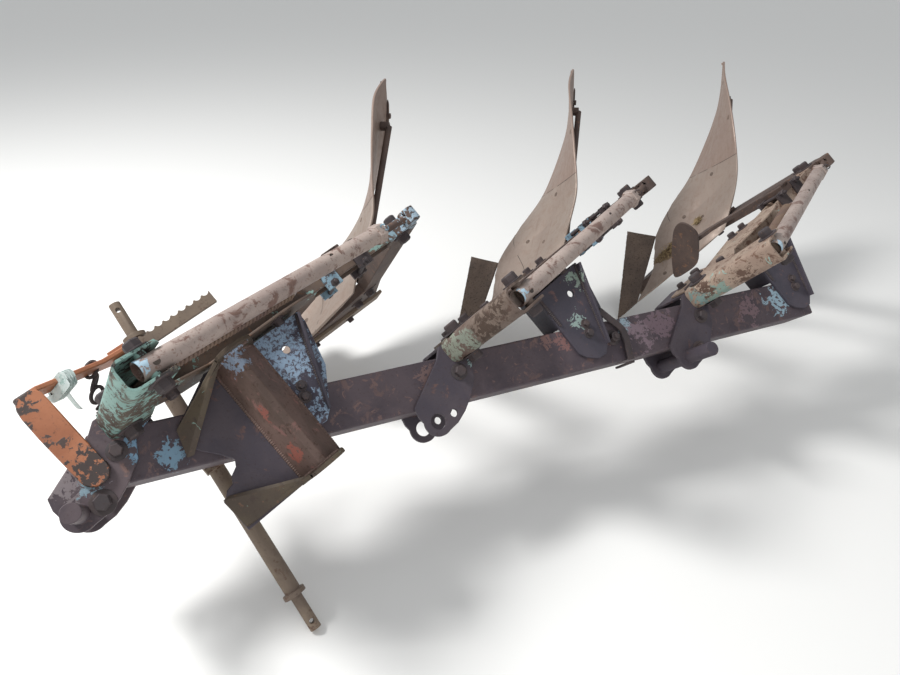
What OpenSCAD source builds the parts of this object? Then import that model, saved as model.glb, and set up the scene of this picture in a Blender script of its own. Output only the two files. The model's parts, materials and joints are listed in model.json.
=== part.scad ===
// Mounted moldboard plough, three furrows, with spring trip legs, lying on its land side.
// Millimetres. Each piece is drawn as the plough works: x forward, y to the land side, z up.
// The zero is the bolt of the middle bracket on the beam's top face. rest() then lays the whole down.

/* [Layout] */
// Distance between bodies along the furrow
interbody = 720; // [650:1:800]
// Furrow width
furrow = 350; // [300:1:400]
// Furrow bottom below the beam's top face
clearance = 845; // [780:1:900]
// Outside width of the square beam
beam_w = 120; // [100:1:140]
// Wall of the beam
beam_t = 8; // [5:0.5:12]
// Beam ahead of the front bracket's bolt
beam_front = 66; // [40:1:120]
// Beam behind the rear bracket's bolt
beam_rear = 445; // [400:1:520]

/* [Brackets] */
// Thickness of the bracket plates
plate_t = 12; // [8:0.5:16]
// Radius of the pivot hole in a bracket
hole_r = 20; // [14:0.5:24]
// Radius of the stop hole in a bracket
stop_r = 10; // [6:0.5:14]
// Height of a pivot pin over its bracket
stub_h = 100; // [60:1:120]
// Thickness of a rear bracket
rear_t = 10; // [6:0.5:12]

/* [Trip leg] */
// Outside width of a trip box
box_w = 70; // [60:1:80]
// Wall of a trip box
box_t = 6; // [4:0.5:8]
// Outer radius of a trip box's bends
bend_r = 20; // [16:0.5:21]
// Radius of the pivot bolts
bolt_r = 12; // [8:0.5:14]
// Outer radius of the reaction tube
tube_r = 24; // [21:0.5:26]
// Inner radius of the reaction tube
tube_bore = 20; // [18:0.5:20]
// Length of the reaction tube behind its pivot
tube_l = 672; // [640:1:680]
// Radius of the rod in the tube
rod_r = 10; // [8:0.5:12]
// Distance from the tube's axis to the spring's axis
spring_off = 52; // [48:1:60]
// Outer radius of the spring
spring_r = 20; // [16:0.5:22]
// Radius of the spring's wire
wire_r = 4; // [3:0.5:5]
// Length of the spring
spring_l = 335; // [300:1:350]
// Width of the leg
leg_w = 40; // [32:1:44]

/* [Body] */
// Thickness of the moldboard
board_t = 8; // [6:0.5:10]
// Thickness of the share
share_t = 9; // [6:0.5:12]
// Thickness of the landside
land_t = 12; // [8:0.5:16]
// Height of the landside
land_h = 86; // [70:1:110]
// Radius of the stay to the moldboard's tail
stay_r = 11; // [8:0.5:14]

/* [Hitch] */
// Radius of the lower link pins
pin_r = 14; // [11:0.5:18]
// Length of the lower link pins
pin_l = 92; // [80:1:110]
// Radius of the cross-shaft
shaft_r = 20; // [18:0.5:26]
// Thickness of the mast's plates
mast_t = 10; // [6:0.5:14]
// Thickness of the strap
strap_t = 12; // [8:0.5:16]

/* [Clearances] */
// Around a bolt that a piece turns on
fit = 0.06; // [0.02:0.01:0.1]
// Between a rounded face and its seat
seat = 0.3; // [0.1:0.1:0.5]
// Between pieces that move past each other
side_gap = 5; // [4:0.5:6]

/* [Hidden] */
beta = atan(furrow / interbody);
$fn = 40;
rest_turn = [-42.2, 18.06, 18.89];
rest_shift = [421.44, 434.45, 471.01];

module rest() translate(rest_shift) rotate(rest_turn) children();
module body(i) translate([interbody * (2 - i), -furrow * (2 - i), 0]) children();
// A plate drawn in the side view, x and z, spanning y0 to y1
module side(y0, y1) translate([0, y1, 0]) rotate([90, 0, 0]) linear_extrude(y1 - y0) children();
module slab(z0, z1) translate([0, 0, z0]) linear_extrude(z1 - z0) children();
module rod(a, b, r, fn = 32) {
  v = b - a;
  l = norm(v);
  translate(a) rotate([0, acos(v[2] / l), atan2(v[1], v[0])]) cylinder(h = l, r = r, $fn = fn);
}
// A flat bar from a to b, w wide and t thick
module bar(a, b, w, t) {
  v = b - a;
  l = norm(v);
  translate(a) rotate([0, -asin(v[2] / l), atan2(v[1], v[0])]) translate([0, -w / 2, -t / 2]) cube([l, w, t]);
}
function unit(v) = v / max(norm(v), 1e-9);
// A triangular web with its three corners on one face, t thick along the ground
module web(a, b, c, t) {
  across = cross(b - a, c - a);
  n = t * unit([across[0], across[1], 0]);
  polyhedron(points = [a, b, c, a + n, b + n, c + n],
    faces = [[0, 1, 2], [5, 4, 3], [0, 3, 4, 1], [1, 4, 5, 2], [2, 5, 3, 0]]);
}

// Main beam
beam_y = 14;
module beam_frame() translate([0, beam_y, -beam_w / 2]) rotate([0, 0, 180 - beta]) children();
reach = norm([interbody, furrow]);
beam_l = beam_front + 2 * reach + beam_rear;
module main_beam() color("#4b3f45") rest() beam_frame() difference() {
  translate([-beam_front - reach, -beam_w / 2, -beam_w / 2]) cube([beam_l, beam_w, beam_w]);
  translate([-beam_front - reach - 10, beam_t - beam_w / 2, beam_t - beam_w / 2])
    cube([beam_l + 20, beam_w - 2 * beam_t, beam_w - 2 * beam_t]);
}

// Mast foot, measured from the front bracket's bolt: a plate on the beam, a ridged crossbar, end plates with webs
mast_y = [-26, 310];
mast_x = [-358, -250];
mast_h = 102;
mast_foot = plate_t;
foot_pts = [[-295, -26], [-230, -26], [-111, 39], [-92, 102], [-92, 222], [-95, 308], [-295, 310]];
ridge = [-295, mast_h];
module mast_plate() color("#3f3a40") rest() body(1) slab(0, mast_foot) polygon(foot_pts);
module mast_crossbar() color("#6a5048") rest() body(1) side(mast_y[0] + mast_t, mast_y[1] - mast_t) difference() {
  polygon([[mast_x[0], mast_foot], [mast_x[1], mast_foot], ridge + [8, 0], ridge - [8, 0]]);
  polygon([[mast_x[0] + mast_t, mast_foot - 1], [mast_x[1] - mast_t, mast_foot - 1], ridge + [2, -14], ridge - [2, 14]]);
}
// A corner of the foot on the plate's upper face
function foot(k) = [foot_pts[k][0], foot_pts[k][1], mast_foot];
module mast_gussets() color("#6a6a48") rest() body(1) {
  for (y = [mast_y[0], mast_y[1] - mast_t]) side(y, y + mast_t) {
    polygon([[mast_x[0] - 6, mast_foot], [mast_x[1] + 8, mast_foot], [-264, mast_h + 3], [-346, mast_h + 3]]);
    translate([-305, 84]) circle(r = 45);
  }
  web([-258, mast_y[0] + 2, 80], foot(2), [-250, mast_y[0], mast_foot], mast_t);
  web([-255, mast_y[0] + 4, 76], foot(3), foot(2), 1.6 * mast_t);
  web([-258, mast_y[1] - 2, 80], [-250, mast_y[1], mast_foot], [-97, mast_y[1] - 10, mast_foot], mast_t);
  web([-255, mast_y[1] - 4, 76], [-95, mast_y[1] - 10, mast_foot], foot(4), 1.6 * mast_t);
}

// Hitch: the cross-shaft under the beam, its strap from the front bracket, and a toothed bar
shaft_z = -beam_w - shaft_r - 8;
shaft_a = [-194, -321, shaft_z];
shaft_b = [-75, 595, shaft_z];
shaft_u = unit(shaft_b - shaft_a);
function shaft_x(y) = shaft_a[0] + (y - shaft_a[1]) * shaft_u[0] / shaft_u[1];
module cross_shaft() color("#4a3a34") rest() body(1) difference() {
  union() {
    rod(shaft_a, shaft_b, pin_r);
    rod(shaft_a + pin_l * shaft_u, shaft_b - pin_l * shaft_u, shaft_r);
    rod(shaft_a + pin_l * shaft_u, shaft_a + (pin_l + 12) * shaft_u, shaft_r + 8);
    rod(shaft_b - (pin_l + 12) * shaft_u, shaft_b - pin_l * shaft_u, shaft_r + 8);
    for (y = [30, 110]) translate([shaft_x(y) - shaft_r - 10, y, shaft_z - shaft_r - 6])
      cube([2 * shaft_r + 20, 40, -beam_w - shaft_z + shaft_r + 6]);
  }
  for (p = [shaft_a + 22 * shaft_u, shaft_b - 22 * shaft_u]) translate(p) cylinder(h = 4 * pin_r, r = 6, center = true);
}
bar_z = shaft_z + shaft_r + seat;
bar_t = 12;
bar_y = -203;
bar_x = [-385, -110];
tooth = 22;
module serrated_bar() color("#6b5a50") rest() body(1) slab(bar_z, bar_z + bar_t) difference() {
  translate([bar_x[0], bar_y - 10]) square([bar_x[1] - bar_x[0], 34]);
  for (x = [bar_x[0] + tooth / 2 : tooth : bar_x[1] - 50]) translate([x, bar_y - 14]) circle(r = 10, $fn = 16);
}
strap_top = bar_z + bar_t;
module hitch_strap() color("#b5653a") rest() body(1) union() {
  slab(plate_t, plate_t + strap_t)
    polygon([[32, 35], [59, 40], [76, 32], [90, 8], [99, -109], [105, -188], [96, -200], [76, -208], [41, -202], [44, -182]]);
  bar([68, -196, plate_t + strap_t / 2], [-114, -202, strap_top + strap_t / 2], 20, strap_t);
  slab(strap_top, strap_top + strap_t) polygon([[-148, -222], [-108, -222], [-108, -186], [-148, -186]]);
}

// Brackets: two equal plates across the beam, joined by a wall
leg_y = -54;
wall_y = leg_y - box_w / 2 + box_t + seat;
plate_pts = [[-92, wall_y], [4, wall_y], [30, -61], [158, -4], [164, 22], [160, 60], [129, 95], [92, 94], [58, 84], [23, 67],
  [-18, 38], [-44, -5], [-92, -18]];
pivot_hole = [131, 59];
stop_hole = [85, 69];
module plate_shape() {
  polygon(plate_pts);
  translate(pivot_hole) circle(r = 37);
}
module bracket(i) color("#4a3f40") rest() body(i) difference() {
  union() {
    slab(0, plate_t) plate_shape();
    slab(-beam_w - plate_t, -beam_w) plate_shape();
    side(wall_y, wall_y + 8) polygon([[-92, -beam_w - plate_t], [4, -beam_w - plate_t], [4, plate_t], [-92, plate_t]]);
    if (i != 2) translate([pivot_hole[0], pivot_hole[1], -beam_w - plate_t - 8])
      cylinder(h = beam_w + 2 * plate_t + 8 + stub_h, r = hole_r);
    if (i != 2) translate([stop_hole[0], stop_hole[1], -beam_w - plate_t - 8]) cylinder(h = beam_w + 40, r = stop_r);
  }
  if (i == 2) for (h = [[pivot_hole, hole_r], [stop_hole, stop_r]])
    translate([h[0][0], h[0][1], -beam_w - plate_t - 1]) cylinder(h = beam_w + 2 * plate_t + 2, r = h[1]);
}

// Rear bracket: a plate on the beam with a cheek beside the trip arm
cheek_y = -18;
module rear_bracket(i) color("#3b3e4a") rest() body(i) difference() {
  union() {
    slab(0, rear_t) polygon([[-313, cheek_y], [-308, 181], [-322, 204], [-350, 228], [-378, 232], [-400, 215],
      [-462, 125], [-492, 12], [-492, cheek_y]]);
    side(cheek_y, cheek_y + rear_t) polygon([[-313, rear_t / 2], [-492, rear_t / 2], [-492, -90], [-313, -90]]);
    translate([-323, cheek_y, -84]) cube([rear_t, 112, 84 + rear_t / 2]);
  }
  translate([-412, 40, -1]) cylinder(h = rear_t + 2, r = 10);
}

// The linkage: the leg turns in the foot of the box, the tube in its mouth, and the leg's rod slides in the tube
pivot = [-45, leg_y, 45];
mouth = [-135, leg_y, 262];
eye = [-903, leg_y, -13];
slope = atan2(mouth[2] - eye[2], mouth[0] - eye[0]);
eye_s = norm(eye - mouth);
// A point s behind the mouth's pivot along the tube and off below its axis
function along(s, off = 0) = mouth + s * [-cos(slope), 0, -sin(slope)] + off * [sin(slope), 0, -cos(slope)];
module mid(w) side(leg_y - w / 2, leg_y + w / 2) children();

box_in = box_w - 2 * box_t;
box_pts = [[0, plate_t], [-78, 300], [-172, 272], [-178, 246], [-124, 149], [-95, plate_t]];
box_foot = [[-145, plate_t], [-165, -47], [-98, -71], [-11, -55]];
box_lean = atan2(box_pts[1][0], box_pts[1][1] - plate_t);
// The bent sheet across the box: w wide outside, its bends of radius r, open at the back
bend_steps = 5;
function bend(x, y, r, from) = [for (k = [0:bend_steps]) [x, y] + r * [cos(from + k * 90 / bend_steps), sin(from + k * 90 / bend_steps)]];
module bent(w, r, front) polygon(concat([[-200, w / 2], [-200, -w / 2]],
  bend(-front - r, r - w / 2, r, -90), bend(-front - r, w / 2 - r, r, 0)));
module trip_box(i) color("#8a7358") rest() body(i) union() {
  intersection() {
    translate([0, leg_y, plate_t]) rotate([0, box_lean, 0]) translate([0, 0, -60]) linear_extrude(400) difference() {
      bent(box_w, bend_r, 0);
      bent(box_in, bend_r - box_t, box_t);
    }
    side(leg_y - box_w / 2 - 1, leg_y + box_w / 2 + 1) polygon(concat([[30, plate_t], box_pts[1] + [30, 9]],
      [for (k = [2:5]) box_pts[k]]));
  }
  side(leg_y - box_w / 2, leg_y - box_in / 2 - seat)
    polygon(concat([[-8, plate_t], [-bend_r - 8, plate_t], [-70, 100], box_pts[4]], box_foot));
  for (p = [pivot, mouth]) rod(p - [0, box_w / 2 + 10, 0], p + [0, box_w / 2 + 8, 0], bolt_r);
}

// Trip arm: a bar from the pivot to the leg between two cheeks
arm_w = box_in - 2 * side_gap;
arm_end = -855;
cheek_t = 6;
cheek_pts = [[-60, 66], [-140, 118], [-252, 34], [-451, 42], [-500, 34], [-548, 12], [-478, -106], [-434, -124],
  [-250, -72], [-175, -50], [-100, 17], [-45, 17]];
module trip_arm(i) color("#4c4440") rest() body(i) difference() {
  union() {
    mid(leg_w) polygon([[-50, 70], [-180, 25], [-560, -10], [arm_end, -40], [arm_end, -110], [-560, -80], [-190, -45],
      [-100, 17], [-45, 17]]);
    for (y = [leg_y - arm_w / 2, leg_y + arm_w / 2 - cheek_t]) side(y, y + cheek_t) polygon(cheek_pts);
    mid(leg_w) translate([pivot[0], pivot[2]]) circle(r = bolt_r + 11);
  }
  for (y = [leg_y - leg_w / 2 - 1, leg_y + 7]) side(y, y + leg_w / 2 - 6)
    polygon([[-572, -22], [arm_end + 20, -49], [arm_end + 20, -99], [-572, -70]]);
  rod(pivot - [0, box_w, 0], pivot + [0, box_w, 0], bolt_r + fit);
}

// Reaction tube with the lugs that hold the spring's guide rod
guide_r = spring_r - wire_r;
lug_t = 8;
module on_tube(s) translate(along(s)) rotate([0, 180 - slope, 0]) children();
module lug(s) on_tube(s) {
  translate([0, -9, 0]) cube([lug_t, 18, spring_off]);
  translate([0, 0, spring_off]) rotate([0, 90, 0]) cylinder(h = lug_t, r = guide_r - 2);
}
spring_s = 60;
module reaction_tube(i) color("#9a7f72") rest() body(i) difference() {
  union() {
    rod(along(-24), along(tube_l), tube_r);
    rod(along(tube_l - 4), along(tube_l + 24), tube_r + 6, 6);
    lug(spring_s - lug_t);
    lug(spring_s + spring_l);
  }
  rod(along(-25), along(tube_l + 25), tube_bore);
  rod(mouth - [0, box_w, 0], mouth + [0, box_w, 0], bolt_r + fit);
}
pitch = 15;
module reset_spring(i) color("#4a3830") rest() body(i) union() {
  rod(along(spring_s, spring_off), along(spring_s + spring_l, spring_off), guide_r);
  for (s = [spring_s + wire_r : pitch : spring_s + spring_l - 3 * wire_r])
    rod(along(s, spring_off), along(s + 2 * wire_r, spring_off), spring_r);
}

// Leg, with the rod that slides in the tube
leg_foot = -545;
module leg(i) color("#453c3a") rest() body(i) union() {
  mid(leg_w) {
    polygon([[-936, -60], [-922, -30], [-886, -30], [arm_end, -40], [arm_end, -110], [-875, leg_foot], [-950, leg_foot]]);
    translate([eye[0], eye[2]]) circle(r = 25);
  }
  rod(along(eye_s - 200), eye, rod_r);
}

// Moldboard and share: sheets between a lower and an upper edge
nu = 24;
nv = 8;
low = [[-471, -23, -778], [-616, -85, -740], [-754, -183, -743], [-935, -236, -755], [-1138, -295, -708],
  [-1316, -439, -551], [-1407, -585, -444]];
top = [[-811, -42, -470], [-903, -129, -412], [-1012, -205, -404], [-1095, -314, -382], [-1197, -433, -381],
  [-1304, -540, -400], [-1414, -593, -440]];
function pick(p, t) = let (n = len(p) - 1, k = min(floor(t * n), n - 1), f = t * n - k, a = p[max(k - 1, 0)], b = p[k],
  c = p[k + 1], d = p[min(k + 2, n)]) 0.5 * ((2 * b) + (c - a) * f + (2 * a - 5 * b + 4 * c - d) * f * f
  + (3 * b - a - 3 * c + d) * f * f * f);
function skin(u, v) = let (a = pick(low, u), b = pick(top, u)) a * (1 - v) + b * v
  + 4 * v * (1 - v) * min(1, 3 * u) * (1 - u) * [-60, 40, -33];
function behind(u, v) = unit(cross(skin(min(u + 0.01, 1), v) - skin(max(u - 0.01, 0), v),
  skin(u, min(v + 0.01, 1)) - skin(u, max(v - 0.01, 0))));
module sheet(front, back, nu, nv) {
  m = nv + 1;
  o = (nu + 1) * m;
  polyhedron(points = concat(front, back), faces = concat(
    [for (i = [0:nu - 1]) for (j = [0:nv - 1]) each [[i * m + j, (i + 1) * m + j, (i + 1) * m + j + 1],
      [i * m + j, (i + 1) * m + j + 1, i * m + j + 1]]],
    [for (i = [0:nu - 1]) for (j = [0:nv - 1]) each [[o + i * m + j, o + (i + 1) * m + j + 1, o + (i + 1) * m + j],
      [o + i * m + j, o + i * m + j + 1, o + (i + 1) * m + j + 1]]],
    [for (i = [0:nu - 1]) each [[i * m, o + i * m, o + (i + 1) * m], [i * m, o + (i + 1) * m, (i + 1) * m]]],
    [for (i = [0:nu - 1]) each [[i * m + nv, (i + 1) * m + nv, o + (i + 1) * m + nv],
      [i * m + nv, o + (i + 1) * m + nv, o + i * m + nv]]],
    [for (j = [0:nv - 1]) each [[j, j + 1, o + j + 1], [j, o + j + 1, o + j]]],
    [for (j = [0:nv - 1]) each [[nu * m + j, o + nu * m + j + 1, nu * m + j + 1],
      [nu * m + j, o + nu * m + j, o + nu * m + j + 1]]]));
}
module moldboard(i) color("#7b6a60") rest() body(i) sheet(
  [for (i = [0:nu]) for (j = [0:nv]) skin(i / nu, j / nv)],
  [for (i = [0:nu]) for (j = [0:nv]) skin(i / nu, j / nv) + board_t * behind(i / nu, j / nv)], nu, nv);
edge = [[-380, -15, -clearance], [-735, -277, -clearance]];
function blade(u, v) = (edge[0] * (1 - u) + edge[1] * u) * (1 - v) + (low[0] * (1 - u) + low[2] * u) * v;
share_n = unit(cross(edge[1] - edge[0], low[0] - edge[0]));
module share(i) color("#4f4640") rest() body(i) sheet(
  [for (i = [0:6]) for (j = [0:2]) blade(i / 6, 0.49 * j)],
  [for (i = [0:6]) for (j = [0:2]) blade(i / 6, 0.49 * j) + share_t * share_n * (j == 0 ? 0.15 : 1)], 6, 2);

// Frog: carries the moldboard on bosses, the share on its nose and the landside on its flat side
land_y = leg_y + leg_w / 2;
bosses = [[6, 3, 100], [6, 5, 100]];
function backing(k, gap) = skin(k[0] / nu, k[1] / nv) + (board_t + gap) * behind(k[0] / nu, k[1] / nv);
under = blade(0.35, 0.6) + share_t * share_n;
under_n = unit(cross(blade(0.4, 0.6) - blade(0.3, 0.6), blade(0.35, 0.7) - blade(0.35, 0.5)));
module frog(i) color("#4a403a") rest() body(i) union() {
  side(land_y - 36, land_y)
    polygon([[-950, leg_foot], [-875, leg_foot], [-715, -690], [-655, -745], [-560, -790], [-560, -clearance + 8], [-930, -clearance + 8],
      [-1000, -800]]);
  for (k = bosses) rod(backing(k, seat), backing(k, k[2]), 14);
  rod(under + seat * under_n, under + 45 * under_n, 14);
}
land_end = -1010;
module landside(i) color("#5a4a42") rest() body(i) side(land_y, land_y + land_t)
  polygon([[-560, -clearance + 4], [land_end, -clearance + 4], [land_end, -clearance + 4 + land_h],
    [-640, -clearance + 4 + land_h], [-560, -clearance + 60]]);

// Stay from the leg to the moldboard's tail
tail = [19, 5, 30];
stay_foot = [-905, leg_y - leg_w / 2, -500];
module tail_stay(i) color("#3f3833") rest() body(i) union() {
  side(stay_foot[1] - 12, stay_foot[1]) translate([stay_foot[0], stay_foot[2]]) square([56, 60], center = true);
  rod(stay_foot - [0, 10, 0], backing(tail, tail[2]), stay_r);
  rod(backing(tail, seat), backing(tail, tail[2]), 16);
}

// Skimmer: a small blade across the furrow on a stalk, clamped to the arm
skim_y = leg_y - leg_w / 2 - 30;
skim_x = -600;
blade_t = 8;
module skimmer(i) color("#4f3c30") rest() body(i) union() {
  side(skim_y, skim_y + 30) polygon([[-694, -104], [-640, -104], [-640, -14], [-694, -14]]);
  side(skim_y, skim_y + 14)
    polygon([[-684, -14], [-684, -420], [-640, -520], [skim_x, -520], [skim_x, -430], [-650, -370], [-650, -14]]);
  translate([skim_x, 0, 0]) rotate([90, 0, 90]) linear_extrude(blade_t)
    polygon([[-10, -636], [-60, -610], [-185, -469], [-196, -425], [-165, -395], [-122, -388], [-16, -486]]);
}

main_beam();
mast_plate();
mast_crossbar();
mast_gussets();
cross_shaft();
serrated_bar();
hitch_strap();
bracket(1);  // bracket_1
bracket(2);  // bracket_2
bracket(3);  // bracket_3
trip_box(1);  // trip_box_1
trip_box(2);  // trip_box_2
trip_box(3);  // trip_box_3
rear_bracket(1);  // rear_bracket_1
rear_bracket(2);  // rear_bracket_2
rear_bracket(3);  // rear_bracket_3
trip_arm(1);  // trip_arm_1
trip_arm(2);  // trip_arm_2
trip_arm(3);  // trip_arm_3
reaction_tube(1);  // reaction_tube_1
reaction_tube(2);  // reaction_tube_2
reaction_tube(3);  // reaction_tube_3
reset_spring(1);  // reset_spring_1
reset_spring(2);  // reset_spring_2
reset_spring(3);  // reset_spring_3
leg(1);  // leg_1
leg(2);  // leg_2
leg(3);  // leg_3
frog(1);  // frog_1
frog(2);  // frog_2
frog(3);  // frog_3
moldboard(1);  // moldboard_1
moldboard(2);  // moldboard_2
moldboard(3);  // moldboard_3
share(1);  // share_1
share(2);  // share_2
share(3);  // share_3
landside(1);  // landside_1
landside(2);  // landside_2
landside(3);  // landside_3
tail_stay(1);  // tail_stay_1
tail_stay(2);  // tail_stay_2
tail_stay(3);  // tail_stay_3
skimmer(1);  // skimmer_1
skimmer(3);  // skimmer_3
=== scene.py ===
"""A moldboard plough on a pale floor, with weathered coats, worn boards, wound springs and fasteners."""

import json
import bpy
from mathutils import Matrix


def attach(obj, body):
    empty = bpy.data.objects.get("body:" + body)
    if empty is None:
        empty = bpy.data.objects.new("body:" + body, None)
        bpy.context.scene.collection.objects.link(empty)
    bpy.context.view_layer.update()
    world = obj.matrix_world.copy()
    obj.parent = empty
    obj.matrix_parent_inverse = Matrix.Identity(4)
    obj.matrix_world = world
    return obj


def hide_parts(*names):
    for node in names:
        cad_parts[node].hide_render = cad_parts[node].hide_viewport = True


bl_info = {
    "name": "Moldboard plough",
    "version": (1, 0, 0),
    "blender": (4, 5, 0),
    "location": "3D View > Sidebar > Plough",
    "description": "Dresses a three-furrow plough with weathered steel, worn boards, springs and fasteners",
    "category": "Object",
}

import bmesh
import bpy
import numpy as np
from mathutils import Matrix, Vector

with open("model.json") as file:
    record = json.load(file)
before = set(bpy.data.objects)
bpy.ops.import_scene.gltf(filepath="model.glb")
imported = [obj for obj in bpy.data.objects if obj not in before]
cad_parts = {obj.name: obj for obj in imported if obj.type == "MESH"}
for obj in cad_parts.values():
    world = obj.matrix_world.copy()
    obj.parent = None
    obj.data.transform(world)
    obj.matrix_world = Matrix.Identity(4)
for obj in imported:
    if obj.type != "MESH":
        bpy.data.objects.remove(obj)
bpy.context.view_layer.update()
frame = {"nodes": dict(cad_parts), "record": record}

# Layout of the plough as it works: x forward, y to the land side, z up, in millimetres

INTERBODY = 720.0
FURROW = 350.0
REST_TURN = np.radians((-42.2, 18.06, 18.89))
REST_SHIFT = np.array((421.44, 434.45, 471.01))
BODIES = (1, 2, 3)


def turn(axis, angle):
    """The matrix that turns about one axis, 0 for x, 1 for y and 2 for z, by an angle in radians."""
    c, s = np.cos(angle), np.sin(angle)
    m = np.eye(3)
    a, b = (axis + 1) % 3, (axis + 2) % 3
    m[a, a], m[a, b], m[b, a], m[b, b] = c, -s, s, c
    return m


LAID = turn(2, REST_TURN[2]) @ turn(1, REST_TURN[1]) @ turn(0, REST_TURN[0])


def lay(points, body=2):
    """Takes points in millimetres on one body as it works to metres as the plough lies."""
    offset = np.array((INTERBODY, -FURROW, 0.0)) * (2 - body)
    return ((np.asarray(points, float) + offset) @ LAID.T + REST_SHIFT) / 1000.0


def heading(vector):
    """Takes a direction of the working plough to one of the plough as it lies."""
    return LAID @ np.asarray(vector, float)


# Shapes: each is its points in millimetres and a list of face arrays

SHARP_ANGLE = np.radians(32.0)
WASHER_THICK = 3.0


def joined(*shapes):
    """Joins several shapes into one."""
    points, faces, start = [], [], 0
    for some, groups in shapes:
        points.append(some)
        faces += [group + start for group in groups]
        start += len(some)
    return np.concatenate(points), faces


def quads(rows, columns, around=False):
    """The quads of a grid whose points are counted row by row.

    around joins each row's last point to its first.
    """
    r, c = np.meshgrid(np.arange(rows - 1), np.arange(columns if around else columns - 1), indexing="ij")
    here, beside = r * columns + c, r * columns + (c + 1) % columns
    return np.stack((here, beside, beside + columns, here + columns), -1).reshape(-1, 4)


def across(direction):
    """Two unit vectors square to a direction and to each other."""
    d = np.asarray(direction, float) / np.linalg.norm(direction)
    helper = np.array((0.0, 0.0, 1.0)) if abs(d[2]) < 0.9 else np.array((1.0, 0.0, 0.0))
    side = np.cross(helper, d)
    side /= np.linalg.norm(side)
    return d, side, np.cross(d, side)


def lathe(at, direction, profile, sides=24, spin=0.0):
    """Turns a profile of (height, radius) pairs about a direction from a point, with a flat cap on each end.

    Ring point k is at + height * d + radius * (cos a * side + sin a * other), where a = spin + 2 pi k / sides
    and side and other are unit vectors square to the direction d.
    """
    d, side, other = across(direction)
    height, radius = np.asarray(profile, float).T
    a = spin + 2.0 * np.pi * np.arange(sides) / sides
    ring = np.cos(a)[:, None] * side + np.sin(a)[:, None] * other
    points = np.asarray(at, float) + height[:, None, None] * d + radius[:, None, None] * ring
    last = (len(height) - 1) * sides
    caps = [np.arange(sides)[::-1][None], (last + np.arange(sides))[None]]
    return points.reshape(-1, 3), [quads(len(height), sides, True), *caps]


def sweep(path, section, up=(0.0, 0.0, 1.0)):
    """Carries a closed section of (side, up) pairs along a path and square to it, with a cap on each end.

    point = path + side * s + top * u, with side = path direction x up, and top = side x path direction.
    """
    path, section = np.asarray(path, float), np.asarray(section, float)
    along = np.gradient(path, axis=0)
    along /= np.linalg.norm(along, axis=1, keepdims=True)
    side = np.cross(along, up)
    side /= np.linalg.norm(side, axis=1, keepdims=True)
    top = np.cross(side, along)
    points = path[:, None] + section[None, :, :1] * side[:, None] + section[None, :, 1:] * top[:, None]
    n = len(section)
    caps = [np.arange(n)[None], (np.arange(n)[::-1] + (len(path) - 1) * n)[None]]
    return points.reshape(-1, 3), [quads(len(path), n, True), *caps]


def round_section(radius, sides=12):
    """A circle as a section for sweep."""
    a = 2.0 * np.pi * np.arange(sides) / sides
    return np.stack((radius * np.cos(a), radius * np.sin(a)), -1)


def flat_section(width, thick):
    """A flat bar with broken corners as a section for sweep."""
    w, t, c = width / 2.0, thick / 2.0, thick * 0.22
    return np.array(((c - w, -t), (w - c, -t), (w, c - t), (w, t - c),
                     (w - c, t), (c - w, t), (-w, t - c), (-w, c - t)))


def plate(outline, at, direction, first, thick, bevel=1.2):
    """A flat plate with broken edges: an outline on the plane through a point, square to a direction.

    The outline is (a, b) pairs, a along first and b square to it, and is shrunk by bevel at both faces.
    """
    outline = np.asarray(outline, float)
    d = np.asarray(direction, float) / np.linalg.norm(direction)
    a = np.asarray(first, float) - np.dot(first, d) * d
    a /= np.linalg.norm(a)
    b = np.cross(d, a)
    before, after = np.roll(outline, 1, 0) - outline, np.roll(outline, -1, 0) - outline
    before /= np.linalg.norm(before, axis=1, keepdims=True)
    after /= np.linalg.norm(after, axis=1, keepdims=True)
    area = np.sum(outline[:, 0] * np.roll(outline[:, 1], -1) - outline[:, 1] * np.roll(outline[:, 0], -1))
    inward = np.stack((-after[:, 1], after[:, 0]), -1) + np.stack((before[:, 1], -before[:, 0]), -1)
    inward *= np.sign(area) / np.maximum(np.linalg.norm(inward, axis=1, keepdims=True), 0.2)
    small = outline + bevel * inward
    rings = ((small, 0.0), (outline, bevel), (outline, thick - bevel), (small, thick))
    points = [np.asarray(at, float) + ring[:, :1] * a + ring[:, 1:] * b + level * d for ring, level in rings]
    n = len(outline)
    caps = [np.arange(n)[::-1][None], (3 * n + np.arange(n))[None]]
    return np.concatenate(points), [quads(4, n, True), *caps]


def arc(middle, radius, start, stop, count):
    """Points on a circle between two angles in degrees."""
    a = np.radians(np.linspace(start, stop, count))
    return np.stack((middle[0] + radius * np.cos(a), middle[1] + radius * np.sin(a)), -1)


def hexagon(at, direction, width, height, spin):
    """A hexagon head or nut, width across its flats, with its top corners turned off."""
    r = width / np.sqrt(3.0)
    return lathe(at, direction, ((0.0, r), (height * 0.82, r), (height, r * 0.84)), 6, spin)


def fastener(at, direction, width, height=None, washer=True, thread=0.0, spin=0.3):
    """A nut or bolt head on its washer, and the thread that stands out of it.

    In widths over flats a head is 0.62 high, and a washer 0.86 and a thread 0.29 in radius.
    """
    d = np.asarray(direction, float) / np.linalg.norm(direction)
    at = np.asarray(at, float)
    base = WASHER_THICK if washer else 0.0
    height = width * 0.62 if height is None else height
    shapes = [hexagon(at + base * d, d, width, height, spin)]
    if washer:
        profile = ((0.0, width * 0.86), (base - 0.8, width * 0.86), (base, width * 0.8))
        shapes.append(lathe(at, d, profile, 20))
    if thread:
        top, radius = base + height, width * 0.29
        profile = ((top, radius), (top + thread, radius), (top + thread + 1.5, width * 0.2))
        shapes.append(lathe(at, d, profile, 12))
    return joined(*shapes)


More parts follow.
